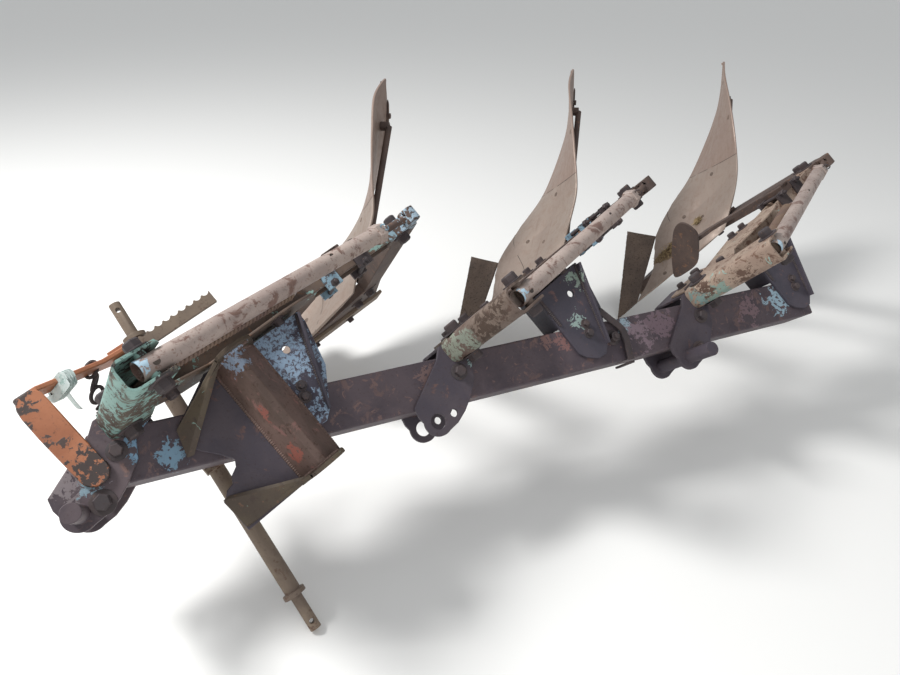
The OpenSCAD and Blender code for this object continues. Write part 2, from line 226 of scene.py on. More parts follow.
def piece(name, shape, coat, body, number, stands_for=()):
    """Makes one piece from a shape on the working body of that number, and ties it to a body of the frame."""
    points, groups = shape
    mesh = bpy.data.meshes.new(name)
    mesh.from_pydata(lay(points, number).tolist(), [], [face for group in groups for face in group.tolist()])
    mesh.materials.append(bpy.data.materials[coat])
    mesh.shade_smooth()
    mesh.set_sharp_from_angle(angle=SHARP_ANGLE)
    thing = bpy.data.objects.new(name, mesh)
    bpy.context.scene.collection.objects.link(thing)
    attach(thing, body)
    if stands_for:
        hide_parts(*stands_for)
    return thing


# Colours and nodes

SPECK_BROWN = "#3a2620"
# Where rust and flakes begin in a noise about 0.5: with no cover, the fall to full cover, and the edge's width
WORN_FROM, WORN_FALL, WORN_EDGE = 0.68, 0.36, 0.08
FLAKE_FROM, FLAKE_FALL, FLAKE_EDGE = 0.72, 0.4, 0.015
# Where a patch ends, and which chips are out of it
PATCH_RIM = (4.86, 4.76)
CHIP_RIM = (0.6, 0.56)


def linear(code):
    """Turns an sRGB hex colour to linear red, green, blue and alpha."""
    parts = np.array([int(code[k:k + 2], 16) for k in (1, 3, 5)]) / 255.0
    low = parts / 12.92
    high = ((parts + 0.055) / 1.055) ** 2.4
    return (*np.where(parts <= 0.04045, low, high).tolist(), 1.0)


def add(tree, kind, sockets=None, **properties):
    """Adds a node, sets its properties, and gives each named socket a value or a link."""
    node = tree.nodes.new(kind)
    for name, value in properties.items():
        setattr(node, name, value)
    for socket, value in (sockets or {}).items():
        if isinstance(value, bpy.types.NodeSocket):
            tree.links.new(value, node.inputs[socket])
        else:
            node.inputs[socket].default_value = value
    return node


def begin(name):
    """Starts a material: returns it with its tree, its shader and the object coordinates."""
    material = bpy.data.materials.new(name)
    material.use_nodes = True
    tree = material.node_tree
    shader = tree.nodes["Principled BSDF"]
    place = add(tree, "ShaderNodeTexCoord").outputs["Object"]
    return material, tree, shader, place


def grain(tree, place, size_mm, detail=4.0, rough=0.55, warp=0.0, shift=0.0):
    """A noise whose features are about size_mm across."""
    spot = add(tree, "ShaderNodeMapping", {"Vector": place, "Location": (shift, shift * 1.7, shift * 0.6)})
    noise = {"Vector": spot.outputs["Vector"], "Scale": 1000.0 / size_mm, "Detail": detail,
             "Roughness": rough, "Distortion": warp}
    return add(tree, "ShaderNodeTexNoise", noise).outputs["Fac"]


def ramp(tree, value, start, stop, bottom=0.0, top=1.0, kind="LINEAR"):
    """The bottom at start, the top at stop, and between them in a line, or smoothly as SMOOTHSTEP."""
    ends = {"Value": value, "From Min": start, "From Max": stop, "To Min": bottom, "To Max": top}
    return add(tree, "ShaderNodeMapRange", ends, interpolation_type=kind).outputs["Result"]


def step(tree, value, low, high, top=1.0):
    """Zero below low, top above high, and smooth between."""
    return ramp(tree, value, low, high, 0.0, top, "SMOOTHSTEP")


def over(tree, mask, below, above):
    """Lays one colour over another where the mask is one; each is a hex code, linear values or a socket."""
    node = add(tree, "ShaderNodeMix", data_type="RGBA")
    tree.links.new(mask, node.inputs["Factor"])
    for socket, value in ((node.inputs[6], below), (node.inputs[7], above)):
        if isinstance(value, bpy.types.NodeSocket):
            tree.links.new(value, socket)
        else:
            socket.default_value = linear(value) if isinstance(value, str) else value
    return node.outputs[2]


def sums(tree, *terms):
    """The weighted sum of some values, given as value and weight."""
    total = None
    for value, weight in terms:
        part = add(tree, "ShaderNodeMath", {0: value, 1: weight}, operation="MULTIPLY").outputs[0]
        total = part if total is None else add(tree, "ShaderNodeMath", {0: total, 1: part}).outputs[0]
    return total


def near(tree, place, spot, body, radius_mm, wobble, chips):
    """One inside a ragged patch about a point of one working body, and zero outside it and in its chips.

    The distance in radii plus 6 wobbles and 2 chips, each of them about a half, is set against PATCH_RIM.
    """
    away = add(tree, "ShaderNodeVectorMath", {0: place, 1: lay(spot, body).tolist()}, operation="DISTANCE")
    ragged = sums(tree, (away.outputs["Value"], 1000.0 / radius_mm), (wobble, 6.0), (chips, 2.0))
    whole = ramp(tree, ragged, *PATCH_RIM)
    left = step(tree, chips, *CHIP_RIM)
    return add(tree, "ShaderNodeMath", {0: whole, 1: left}, operation="MULTIPLY").outputs[0]


def relief(tree, shader, height, strength, depth_mm):
    """Raises the surface by a height under the light, by depth_mm for each unit of it."""
    sockets = {"Height": height, "Strength": strength, "Distance": depth_mm / 1000.0}
    bump = add(tree, "ShaderNodeBump", sockets)
    tree.links.new(bump.outputs["Normal"], shader.inputs["Normal"])


def weathered(name, coat, worn, seed, flakes=(), patches=(), rough=(0.55, 0.8), bump_mm=0.5, size_mm=60.0):
    """Old paint or bare iron outdoors.

    coat is two colours that drift into each other over size_mm. worn is a list of (colour, cover from 0 to 1,
    size in mm) for rust and primer that has come through, with soft edges. flakes is a list of the same for
    paint that is left, with sharp edges that stand proud. patches are single ones: (colour, place, body, radius
    in mm).
    """
    material, tree, shader, place = begin(name)
    drift = grain(tree, place, size_mm * 2.0, 5.0, 0.6, 0.4, seed)
    fine = grain(tree, place, 5.0, 6.0, 0.65, 0.0, seed + 3.0)
    colour = over(tree, step(tree, drift, 0.36, 0.64), coat[0], coat[1])
    height = fine
    for k, (tint, cover, size) in enumerate(worn):
        noise = grain(tree, place, size, 8.0, 0.68, 0.6, seed + 11.0 * (k + 1))
        start = WORN_FROM - WORN_FALL * cover
        mask = step(tree, noise, start, start + WORN_EDGE, 0.92)
        colour = over(tree, mask, colour, tint)
        height = sums(tree, (height, 1.0), (mask, -0.5))
    for k, (tint, cover, size) in enumerate(flakes):
        noise = grain(tree, place, size, 7.0, 0.62, 0.9, seed + 29.0 * (k + 1))
        start = FLAKE_FROM - FLAKE_FALL * cover
        mask = step(tree, noise, start, start + FLAKE_EDGE)
        colour = over(tree, mask, colour, tint)
        height = sums(tree, (height, 1.0), (mask, 1.2))
    wobble = grain(tree, place, 38.0, 8.0, 0.7, 0.8, seed + 43.0)
    chips = grain(tree, place, 11.0, 5.0, 0.6, 0.4, seed + 47.0)
    for tint, spot, body, radius in patches:
        mask = near(tree, place, spot, body, radius, wobble, chips)
        colour = over(tree, mask, colour, tint)
        height = sums(tree, (height, 1.0), (mask, 0.8))
    speck = step(tree, grain(tree, place, 9.0, 5.0, 0.7, 0.0, seed + 51.0), 0.56, 0.72, 0.55)
    tree.links.new(over(tree, speck, colour, SPECK_BROWN), shader.inputs["Base Color"])
    tree.links.new(ramp(tree, fine, 0.0, 1.0, *rough), shader.inputs["Roughness"])
    relief(tree, shader, height, 0.55, bump_mm)
    return material


# Finishes of this plough: each describes the real coat, its rust and the flakes of paint left on it; the
# turquoise box's coat also holds a patch of painted shade inside its mouth

FINISHES = {
    # Hot-rolled square tube: dull purple-brown paint, worn to pinkish primer, with a few patches of pale blue
    "beam_old_paint": dict(
        coat=("#443a41", "#53474c"),
        worn=(("#65504e", 0.36, 60), ("#705854", 0.28, 24)),
        seed=1.0,
        patches=(
            ("#7390a4", (-72, 75, 0), 1, 30),
            ("#7c5a57", (-300, 120, 0), 2, 34),
            ("#745854", (-255, 95, 0), 2, 24),
            ("#6a5452", (60, -20, 0), 2, 44),
            ("#93abb8", (-290, 148, 0), 3, 44),
            ("#8d9ea8", (-492, 205, 0), 2, 30),
            ("#7c6a72", (-520, 262, 0), 2, 40),
            ("#705d65", (-590, 290, 0), 2, 46),
            ("#755f64", (-170, 100, 0), 3, 40),
        ),
    ),
    # Cut and pressed plate: slate-purple paint with dark rust at its edges
    "plate_slate_paint": dict(
        coat=("#413a43", "#4c4349"),
        worn=(("#624944", 0.24, 45),),
        seed=5.0,
        patches=(
            ("#869a98", (-40, 5, 12), 2, 16),
            ("#829c95", (131, 59, -158), 3, 26),
            ("#6b4c3c", (70, 30, -140), 3, 24),
        ),
    ),
    # The same plate, rubbed: the primer shows through it, and pale blue is left at its foot
    "front_bracket_paint": dict(
        coat=("#453b41", "#5c4f52"),
        worn=(("#7a5f58", 0.26, 36),),
        flakes=(("#8d8288", 0.04, 40),),
        seed=9.0,
        patches=(
            ("#7393ab", (-70, 0, 12), 1, 40),
            ("#7393ab", (-46, 14, 12), 1, 38),
            ("#7393ab", (-26, 32, 12), 1, 28),
            ("#7a7072", (128, -8, 12), 1, 36),
            ("#8299a4", (86, 30, 12), 1, 18),
        ),
    ),
    # Pressed sheet: pale turquoise enamel, lifted by brown rust, with painted shade inside the box's mouth
    "box_turquoise": dict(
        coat=("#7b9b93", "#87a79f"),
        worn=(("#54463a", 0.5, 42), ("#65503f", 0.25, 15)),
        seed=14.0,
        patches=(
            ("#4a3f38", (-8, -54, 36), 1, 42),
            ("#50443a", (-80, -20, 170), 1, 50),
            ("#4c4138", (-34, -40, 108), 1, 36),
            ("#50443a", (-112, -20, 110), 1, 44),
            # Painted shade: a near-black patch in the recess of the box's mouth, where the turquoise lies in
            # shade
            ("#2f2a28", (-142, -54, 236), 1, 62),
        ),
    ),
    # Pressed sheet: cream primer stained tan, with what is left of the turquoise
    "box_tan": dict(
        coat=("#74655a", "#62524a"),
        worn=(("#4f3c32", 0.42, 32), ("#5a463a", 0.3, 11)),
        flakes=(("#88887a", 0.1, 44),),
        seed=17.0,
        patches=(
            ("#858a7c", (-12, -52, 52), 2, 38),
            ("#82887b", (-28, -49, 112), 2, 34),
            ("#4a3a30", (-50, -40, 180), 2, 44),
            ("#4a3a30", (-70, -70, 250), 2, 26),
        ),
    ),
    # Pressed sheet: pale cream primer with brown rust and a little turquoise
    "box_cream": dict(
        coat=("#a08d7d", "#8d786a"),
        worn=(("#65493a", 0.42, 26), ("#5a4338", 0.3, 10)),
        flakes=(("#8ba39a", 0.12, 40),),
        seed=19.0,
        patches=(
            ("#788d88", (-10, -44, 45), 3, 42),
            ("#7b8f85", (-27, -36, 105), 3, 34),
            ("#5a4438", (-50, -32, 190), 3, 34),
            ("#5a4438", (-14, -72, 70), 3, 24),
        ),
    ),
    # Drawn tube: thin pinkish rust over steel, polished where it slides
    "tube_thin_rust": dict(
        coat=("#93837c", "#a8988f"),
        worn=(("#6b5046", 0.42, 46), ("#7c6154", 0.3, 9)),
        flakes=(("#b9aea8", 0.1, 60),),
        seed=23.0,
        rough=(0.4, 0.62),
        size_mm=90.0,
        patches=(
            ("#a3bccb", (-116, -54, 290), 1, 21),
            ("#a3bccb", (-118, -54, 290), 2, 18),
            ("#a9c0cf", (-118, -54, 290), 3, 18),
        ),
    ),
    # Oil-tempered wire and its rod, evenly brown
    "spring_dark_steel": dict(
        coat=("#64504a", "#75604f"),
        worn=(("#86614c", 0.25, 12),),
        seed=27.0,
    ),
    # Pressed plate: pale blue enamel pitted with rust, and a dark navy margin
    "bracket_pale_blue": dict(
        coat=("#7d92a8", "#889db2"),
        worn=(("#443b43", 0.52, 10), ("#4f4650", 0.3, 50)),
        seed=31.0,
        patches=(
            ("#37333f", (-380, 150, 10), 1, 52),
            ("#3a3642", (-478, 40, 10), 1, 34),
            ("#3a3642", (-430, 140, 10), 1, 38),
        ),
    ),
    # Pressed plate: slate-blue paint with a few flakes of grey-green
    "bracket_slate_blue": dict(
        coat=("#3a3741", "#464049"),
        worn=(("#6a4f4c", 0.2, 45),),
        seed=35.0,
        patches=(
            ("#8f9d92", (-470, 30, 10), 2, 24),
            ("#8b9c90", (-452, 4, 10), 2, 20),
            ("#8a9c97", (-366, 110, 10), 2, 22),
            ("#7d9995", (-448, 170, 10), 3, 18),
        ),
    ),
    # Folded bar: pinkish rust where the light falls, olive-brown paint on its other side
    "mast_brown": dict(
        coat=("#5c4a42", "#6e5850"),
        worn=(("#86615a", 0.3, 40), ("#523d33", 0.34, 14)),
        seed=39.0,
        patches=(
            ("#8e9cb0", (-290, 0, 96), 1, 30),
            ("#8e564b", (-270, 130, 60), 1, 18),
            ("#96594c", (-265, 250, 60), 1, 24),
        ),
    ),
    # Flame-cut webs: olive-brown with flakes of pale green enamel
    "gusset_olive": dict(
        coat=("#574b3b", "#4b3f35"),
        worn=(("#453730", 0.3, 30), ("#6b4f3e", 0.25, 12)),
        flakes=(("#869f92", 0.16, 34),),
        seed=43.0,
    ),
    # Bent flat bar: orange lacquer chipped to dark iron
    "strap_orange": dict(
        coat=("#a86c4c", "#945b3e"),
        worn=(("#8a5a44", 0.2, 30),),
        seed=47.0,
        rough=(0.38, 0.6),
        patches=(
            ("#3f3431", (52, 16, 24), 1, 56),
            ("#463a36", (94, -196, 22), 1, 34),
            ("#463a36", (96, -150, 22), 1, 16),
            ("#4a3c37", (69, -73, 24), 1, 9),
            ("#4a3c37", (98, -90, 24), 1, 16),
        ),
    ),
    # Forged and rolled bar without paint: dark even rust
    "bare_iron_rust": dict(
        coat=("#483a35", "#594840"),
        worn=(("#74533f", 0.3, 22),),
        seed=51.0,
    ),
    # The same bar with pale blue paint left about the eye
    "leg_pale_top": dict(
        coat=("#483a35", "#594840"),
        worn=(("#74533f", 0.3, 22),),
        seed=51.0,
        patches=(
            ("#9fb4c2", (-903, -54, -13), 1, 56),
            ("#93aab8", (-928, -54, -52), 1, 30),
        ),
    ),
    # Rolled bar under thin turquoise paint, half gone
    "arm_turquoise": dict(
        coat=("#5a4c44", "#6b594c"),
        worn=(("#7c5b45", 0.3, 24),),
        flakes=(("#86a49c", 0.3, 70),),
        seed=57.0,
        patches=(
            ("#93adbb", (-903, -54, -13), 1, 62),
            ("#8fa9b5", (-860, -54, -30), 1, 40),
        ),
    ),
    # Cast and forged pieces out in the weather: dry grey-brown rust
    "dry_grey_rust": dict(
        coat=("#6c5d51", "#80705f"),
        worn=(("#5a4234", 0.3, 30),),
        seed=55.0,
    ),
    # Forged and cut nuts and weld metal: dark rust with a little scale
    "bolt_rust": dict(
        coat=("#393234", "#463b3b"),
        worn=(("#5e463b", 0.24, 9),),
        seed=67.0,
        size_mm=25.0,
    ),
    # The same under pale blue overspray
    "clamp_blue": dict(
        coat=("#7693a6", "#86a0ae"),
        worn=(("#463a37", 0.42, 16),),
        seed=71.0,
        size_mm=30.0,
    ),
    # Forged share steel that has lain in wet soil: brown and deeply pitted
    "share_pitted": dict(
        coat=("#5b4d44", "#6d5c50"),
        worn=(("#3f322b", 0.4, 7),),
        seed=61.0,
        rough=(0.6, 0.85),
        bump_mm=1.2,
    ),
    # Dried loam: pale crumbs on darker soil
    "dirt_dry": dict(
        coat=("#7d6950", "#66523d"),
        worn=(("#4a3c2e", 0.4, 9),),
        seed=73.0,
        bump_mm=1.0,
    ),
    # Woven strip of cloth, bleached, with turquoise rubbed off on it
    "tape_white": dict(
        coat=("#c9d3d0", "#bccac6"),
        worn=(("#86aca2", 0.3, 16),),
        seed=79.0,
        rough=(0.4, 0.55),
    ),
}


def mottled(name, dark, light, size_mm):
    """Two tones that drift into each other at one size, with a fine grain in the surface."""
    material, tree, shader, place = begin(name)
    tone = grain(tree, place, size_mm, 6.0, 0.65, 0.4, 5.0)
    tree.links.new(over(tree, step(tree, tone, 0.36, 0.62), dark, light), shader.inputs["Base Color"])
    shader.inputs["Roughness"].default_value = 0.8
    relief(tree, shader, tone, 0.4, 0.4)
    return material


# Tones of the board: brown steel, the bloom of rust on it, its specks, and the darker tail piece
BOARD_BROWN = "#9c938b"
BOARD_BLOOM = "#867266"
BOARD_SPECK = "#6b5647"
BOARD_TAIL = "#957f78"


def worn_board(name, bright, seed):
    """Crucible steel polished by soil: smooth, half bright, streaked with the flow, with a thin bloom of rust.

    The tail piece is darker. It starts at the joint, where u + lean * v reaches the joint's u at the low edge.
    """
    material, tree, shader, place = begin(name)
    flow = add(tree, "ShaderNodeAttribute", attribute_name="flow").outputs["Vector"]
    long = add(tree, "ShaderNodeMapping", {"Vector": flow, "Scale": (1.0, 9.0, 1.0)}).outputs["Vector"]
    streak = grain(tree, long, 160.0, 6.0, 0.6, 0.3, seed + 17.0)
    parts = add(tree, "ShaderNodeSeparateXYZ", {"Vector": flow})
    low_u = TAIL_JOINT[0][0]
    lean = low_u - TAIL_JOINT[1][0]
    tail = sums(tree, (parts.outputs["X"], 1.0 / BOARD_SPAN[0]), (parts.outputs["Y"], lean / BOARD_SPAN[1]))
    broad = grain(tree, place, 220.0, 4.0, 0.55, 0.5, seed)
    bloom = grain(tree, place, 28.0, 8.0, 0.7, 0.3, seed + 4.0)
    speck = grain(tree, place, 4.0, 5.0, 0.7, 0.0, seed + 8.0)
    colour = over(tree, step(tree, broad, 0.35, 0.65), BOARD_BROWN, bright)
    colour = over(tree, step(tree, tail, low_u - 0.004, low_u + 0.002, 0.75), colour, BOARD_TAIL)
    colour = over(tree, step(tree, streak, 0.45, 0.7, 0.5), colour, bright)
    colour = over(tree, step(tree, streak, 0.3, 0.42, 0.35), BOARD_BLOOM, colour)
    colour = over(tree, step(tree, bloom, 0.45, 0.72, 0.7), colour, BOARD_BLOOM)
    colour = over(tree, step(tree, speck, 0.6, 0.72, 0.45), colour, BOARD_SPECK)
    tree.links.new(colour, shader.inputs["Base Color"])
    tree.links.new(ramp(tree, bloom, 0.3, 0.7, 0.42, 0.62), shader.inputs["Roughness"])
    shader.inputs["Metallic"].default_value = 0.35
    relief(tree, shader, sums(tree, (bloom, 0.5), (speck, 0.35)), 0.35, 0.5)
    return material


# Which coat each node wears, by its own name or by its kind
COATS = {
    "main_beam": "beam_old_paint",
    "mast_plate": "plate_slate_paint", "mast_crossbar": "mast_brown", "mast_gussets": "gusset_olive",
    "cross_shaft": "dry_grey_rust", "serrated_bar": "dry_grey_rust", "hitch_strap": "strap_orange",
    "bracket_1": "front_bracket_paint", "bracket_2": "plate_slate_paint", "bracket_3": "plate_slate_paint",
    "trip_box_1": "box_turquoise", "trip_box_2": "box_tan", "trip_box_3": "box_cream",
    "rear_bracket_1": "bracket_pale_blue", "rear_bracket_2": "bracket_slate_blue",
    "rear_bracket_3": "bracket_slate_blue",
    "trip_arm_1": "arm_turquoise", "trip_arm_3": "box_cream", "leg_1": "leg_pale_top",
}
FOR_EACH_BODY = {
    "trip_arm": "bare_iron_rust", "leg": "bare_iron_rust", "frog": "bare_iron_rust",
    "tail_stay": "bare_iron_rust", "skimmer": "bare_iron_rust", "landside": "dry_grey_rust",
    "reaction_tube": "tube_thin_rust", "reset_spring": "spring_dark_steel",
    "moldboard": "board_worn", "share": "share_pitted",
}
BODY_OF = {node: body for body, nodes in frame["record"]["behaviour"]["bodies"].items() for node in nodes}


def kind_of(node):
    """A node's name without the number of its body."""
    return node.rstrip("123").rstrip("_")


def coat_of(node):
    """The coat that a node wears, by its own name or by its kind."""
    return COATS.get(node) or FOR_EACH_BODY[kind_of(node)]


class PloughSettings(bpy.types.PropertyGroup):
    """Sizes and colours that a user would change."""

    floor_colour: bpy.props.FloatVectorProperty(
        name="Floor", description="Colour of the floor", size=4, subtype="COLOR",
        default=linear("#f0efec"), min=0.0, max=1.0)
    lamp_power: bpy.props.FloatProperty(
        name="Key lamp", description="Power of the key lamp", default=230.0, min=0.0, unit="POWER")
    board_bright: bpy.props.FloatVectorProperty(
        name="Board", description="Lighter colour of a board", size=4, subtype="COLOR",
        default=linear("#aea59b"), min=0.0, max=1.0)
    coil_pitch: bpy.props.FloatProperty(
        name="Coil pitch", description="Step from one turn of a spring to the next", default=0.0106, min=0.009,
        unit="LENGTH")
    weld_size: bpy.props.FloatProperty(
        name="Weld", description="Radius of a weld bead", default=0.005, min=0.001, unit="LENGTH")
    straws: bpy.props.IntProperty(
        name="Straws", description="Stalks in each patch of soil", default=130, min=1)


def settings():
    """The values of this scene that a user can change."""
    return bpy.context.scene.plough


class PLOUGH_OT_coats(bpy.types.Operator):
    """Gives every piece of the frame its weathered coat"""

    bl_idname = "plough.coats"
    bl_label = "Weathered coats"

    def execute(self, context):
        made = {name: weathered(name, **values) for name, values in FINISHES.items()}
        # Crucible steel, polished by soil
        made["board_worn"] = worn_board("board_worn", tuple(settings().board_bright), 3.0)
        # Soil packed into a joint: nearly black; on the tubes the same near-black discs are painted shade in
        # their holes
        made["dark_joints_and_hole_shade"] = mottled("dark_joints_and_hole_shade", "#2e2723", "#453a33", 12.0)
        # Threshed stalks: dull gold, darker where they are wet
        made["straw_dry"] = mottled("straw_dry", "#84704f", "#9f8a66", 14.0)
        for node, cad in frame["nodes"].items():
            for slot in cad.material_slots:
                slot.material = made[coat_of(node)]
        return {"FINISHED"}


# How far the edges of each kind of piece are rounded, in millimetres; the others are replaced whole
EDGES = {
    "main_beam": 5.0, "mast_crossbar": 4.0, "mast_gussets": 1.4, "cross_shaft": 1.2, "serrated_bar": 1.0,
    "bracket": 1.8, "trip_box": 0.9, "rear_bracket": 1.8, "trip_arm": 1.6, "leg": 2.5, "frog": 2.5,
    "landside": 2.0, "tail_stay": 1.5,
}
EDGE_SEGMENTS = 2
# Faces that meet at less than this angle are one, and so are points closer than this many metres
FLAT_ANGLE = np.radians(0.5)
SAME_POINT = 0.00002


class PLOUGH_OT_edges(bpy.types.Operator):
    """Rounds the edges of plate, bar and castings as sawing, pressing and years of work leave them"""

    bl_idname = "plough.edges"
    bl_label = "Rounded edges"

    def execute(self, context):
        for node, cad in frame["nodes"].items():
            width = EDGES.get(kind_of(node))
            if width is None:
                continue
            shape = bmesh.new()
            shape.from_mesh(cad.data)
            bmesh.ops.remove_doubles(shape, verts=shape.verts, dist=SAME_POINT)
            bmesh.ops.dissolve_limit(shape, angle_limit=FLAT_ANGLE, verts=shape.verts, edges=shape.edges)
            mesh = bpy.data.meshes.new(f"{node}_finished")
            shape.to_mesh(mesh)
            shape.free()
            mesh.materials.append(bpy.data.materials[coat_of(node)])
            mesh.shade_smooth()
            mesh.set_sharp_from_angle(angle=SHARP_ANGLE)
            finished = bpy.data.objects.new(f"{node}_finished", mesh)
            context.scene.collection.objects.link(finished)
            edge = finished.modifiers.new("edges", "BEVEL")
            edge.width = width / 1000.0
            edge.segments = EDGE_SEGMENTS
            edge.limit_method = "ANGLE"
            edge.angle_limit = SHARP_ANGLE
            edge.use_clamp_overlap = False
            edge.harden_normals = True
            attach(finished, BODY_OF[node])
            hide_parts(node)
        return {"FINISHED"}


# Boards and shares

BOARD_THICK = 8.0
SHARE_THICK = 9.0
FURROW_BOTTOM = -845.0
# The board's edges on a working body, from its point to its tail, and how far its middle is sunk
LOW_EDGE = np.array(((-471, -23, -778), (-616, -85, -740), (-754, -183, -743), (-935, -236, -755),
                     (-1138, -295, -708), (-1316, -439, -551), (-1407, -585, -444)), float)
TOP_EDGE = np.array(((-811, -42, -470), (-903, -129, -412), (-1012, -205, -404), (-1095, -314, -382),
                     (-1197, -433, -381), (-1304, -540, -400), (-1414, -593, -440)), float)
HOLLOW = np.array((-60.0, 40.0, -33.0))
# The share's cutting edge from its point to its heel, and the way out of its back
SHARE_EDGE = np.array(((-380.0, -15.0, FURROW_BOTTOM), (-735.0, -277.0, FURROW_BOTTOM)))
SHARE_OUT = np.cross(SHARE_EDGE[1] - SHARE_EDGE[0], LOW_EDGE[0] - SHARE_EDGE[0])
SHARE_OUT /= np.linalg.norm(SHARE_OUT)
# The board's length along the flow of soil and its width across it, in metres
BOARD_SPAN = (1.25, 0.42)
TAIL_ROUND = 0.04
RIM_ROUND = 0.3
SMALL_STEP = 0.01


def between(points, t):
    """A smooth curve through evenly spaced points: cubics whose slope at a point is half the step across it."""
    n = len(points) - 1
    k = np.minimum(np.floor(t * n).astype(int), n - 1)
    f = (t * n - k)[..., None]
    a, b, c, d = points[np.maximum(k - 1, 0)], points[k], points[k + 1], points[np.minimum(k + 2, n)]
    return 0.5 * (2 * b + (c - a) * f + (2 * a - 5 * b + 4 * c - d) * f ** 2 + (3 * b - a - 3 * c + d) * f ** 3)


def skin(u, v):
    """The board's face: at each u a straight line from the low to the top edge, sunk by 4 v (1 - v) of HOLLOW.

    The hollow grows over the first third of the board and fades to its tail: min(1, 3 u) (1 - u).
    """
    v = np.asarray(v, float)[..., None]
    sunk = 4.0 * v * (1.0 - v) * (np.minimum(1.0, 3.0 * u) * (1.0 - u))[..., None] * HOLLOW
    return between(LOW_EDGE, u) * (1.0 - v) + between(TOP_EDGE, u) * v + sunk


def behind(u, v):
    """The unit vector out of the board's back, from small steps along u and v."""
    along = skin(np.minimum(u + SMALL_STEP, 1.0), v) - skin(np.maximum(u - SMALL_STEP, 0.0), v)
    over_it = skin(u, np.minimum(v + SMALL_STEP, 1.0)) - skin(u, np.maximum(v - SMALL_STEP, 0.0))
    out = np.cross(along, over_it)
    return out / np.linalg.norm(out, axis=-1, keepdims=True)


def on_board(u, v):
    """The point of the board's face at one u and v, and the unit vector out of its back there."""
    u, v = np.array([u]), np.array([v])
    return skin(u, v)[0], behind(u, v)[0]


def sheet(front, out, thick):
    """A sheet from a grid of face points and the vectors out of its back; its rim is rounded.

    The outer ring of both faces moves in by RIM_ROUND times the thickness, so that the rim has three facets.
    """
    rows, columns = front.shape[:2]
    depth = np.zeros((rows, columns))
    depth[[0, -1], :] = RIM_ROUND
    depth[:, [0, -1]] = RIM_ROUND
    faces = quads(rows, columns)
    face = front + depth[..., None] * thick * out
    back = front + (1.0 - depth)[..., None] * thick * out
    order = np.arange(rows * columns).reshape(rows, columns)
    rim = np.concatenate((order[:-1, 0], order[-1, :-1], order[:0:-1, -1], order[0, :0:-1]))
    after = np.roll(rim, -1)
    total = rows * columns
    wall = np.stack((rim, after, after + total, rim + total), -1)
    points = np.concatenate((face.reshape(-1, 3), back.reshape(-1, 3)))
    return points, [faces, faces[:, ::-1] + total, wall[:, ::-1]]


def close_in(count, edge):
    """Even steps from 0 to 1 with an extra step of edge at both ends."""
    return np.concatenate(((0.0, edge), np.linspace(0.0, 1.0, count)[1:-1], (1.0 - edge, 1.0)))


def flow_map(thing, u, v):
    """Stores where each point lies along and across the flow of soil, in metres, on both faces."""
    grid = np.stack((u * BOARD_SPAN[0], v * BOARD_SPAN[1], np.zeros_like(u)), -1).reshape(-1, 3)
    both = np.concatenate((grid, grid + (0.0, 0.0, 0.5))).astype(np.float32)
    field = thing.data.attributes.new("flow", "FLOAT_VECTOR", "POINT")
    field.data.foreach_set("vector", both.ravel())


def board_shape():
    """The board with dents of under a millimetre, so that the light runs unevenly over it.

    The corners of its tail are rounded: u loses TAIL_ROUND of itself, times |2 v - 1| and u to the sixth.
    """
    u, v = np.meshgrid(close_in(150, 0.0025), close_in(52, 0.006), indexing="ij")
    u = u * (1.0 - TAIL_ROUND * np.abs(2.0 * v - 1.0) ** 6 * u ** 6)
    out = behind(u, v)
    dents = 0.7 * np.sin(17.0 * u + 5.0 * np.sin(7.0 * v)) * np.sin(11.0 * v + 2.0 * np.cos(13.0 * u))
    edge_wear = 1.6 * np.exp(-v / 0.05) * np.sin(61.0 * u + 3.0 * np.sin(23.0 * u))
    rows = skin(u, v)
    up = skin(u, np.minimum(v + SMALL_STEP, 1.0)) - rows
    up /= np.maximum(np.linalg.norm(up, axis=-1, keepdims=True), 1e-6)
    front = rows + dents[..., None] * out * (4.0 * v * (1.0 - v))[..., None] + edge_wear[..., None] * up
    return sheet(front, out, BOARD_THICK), u, v


def share_face(u, v):
    """A straight-ruled face from the share's cutting edge to the board's low edge."""
    u, v = u[..., None], v[..., None]
    cutting = SHARE_EDGE[0] * (1 - u) + SHARE_EDGE[1] * u
    upper = LOW_EDGE[0] * (1 - u) + LOW_EDGE[2] * u
    return cutting * (1 - v) + upper * v


def share_shape():
    """The share, thin at its worn and nicked cutting edge and thick towards the board."""
    u, v = np.meshgrid(close_in(70, 0.004), close_in(26, 0.02) * 0.98, indexing="ij")
    out = np.broadcast_to(SHARE_OUT, u.shape + (3,))
    nick = 2.4 * (np.sin(31.0 * u) * np.sin(83.0 * u + 1.0) + 0.5 * np.sin(139.0 * u)) * np.exp(-v / 0.12)
    pits = 0.5 * np.sin(71.0 * u + 9.0 * v) * np.sin(43.0 * v + 6.0 * np.sin(19.0 * u))
    front = share_face(u, v) + pits[..., None] * out
    front[..., 2] += np.maximum(nick, 0.0)
    return sheet(front, out * np.minimum(1.0, 0.16 + 2.6 * v)[..., None], SHARE_THICK)


# Joints in the board, each as u and v at both its ends: behind the shin, which wears first, and at the tail
SHIN_JOINT = ((0.478, 0.0), (0.0, 0.582))
TAIL_JOINT = ((0.642, 0.0), (0.408, 1.0))
JOINT_WIDTH = 2.0
JOINT_LIFT = 0.25
JOINT_POINTS = 60
# Flush bolts that hold the board, as u and v
BOARD_BOLTS = ((0.07, 0.25), (0.19, 0.16), (0.25, 0.55), (0.34, 0.3), (0.46, 0.62), (0.83, 0.82),
               (0.62, 0.93), (0.94, 0.9))
BOARD_HEAD = 9.0
# Plough bolts in the share, as u and v of its face
SHARE_BOLTS = ((0.22, 0.62), (0.5, 0.6), (0.78, 0.6))
SHARE_HEAD = 10.0


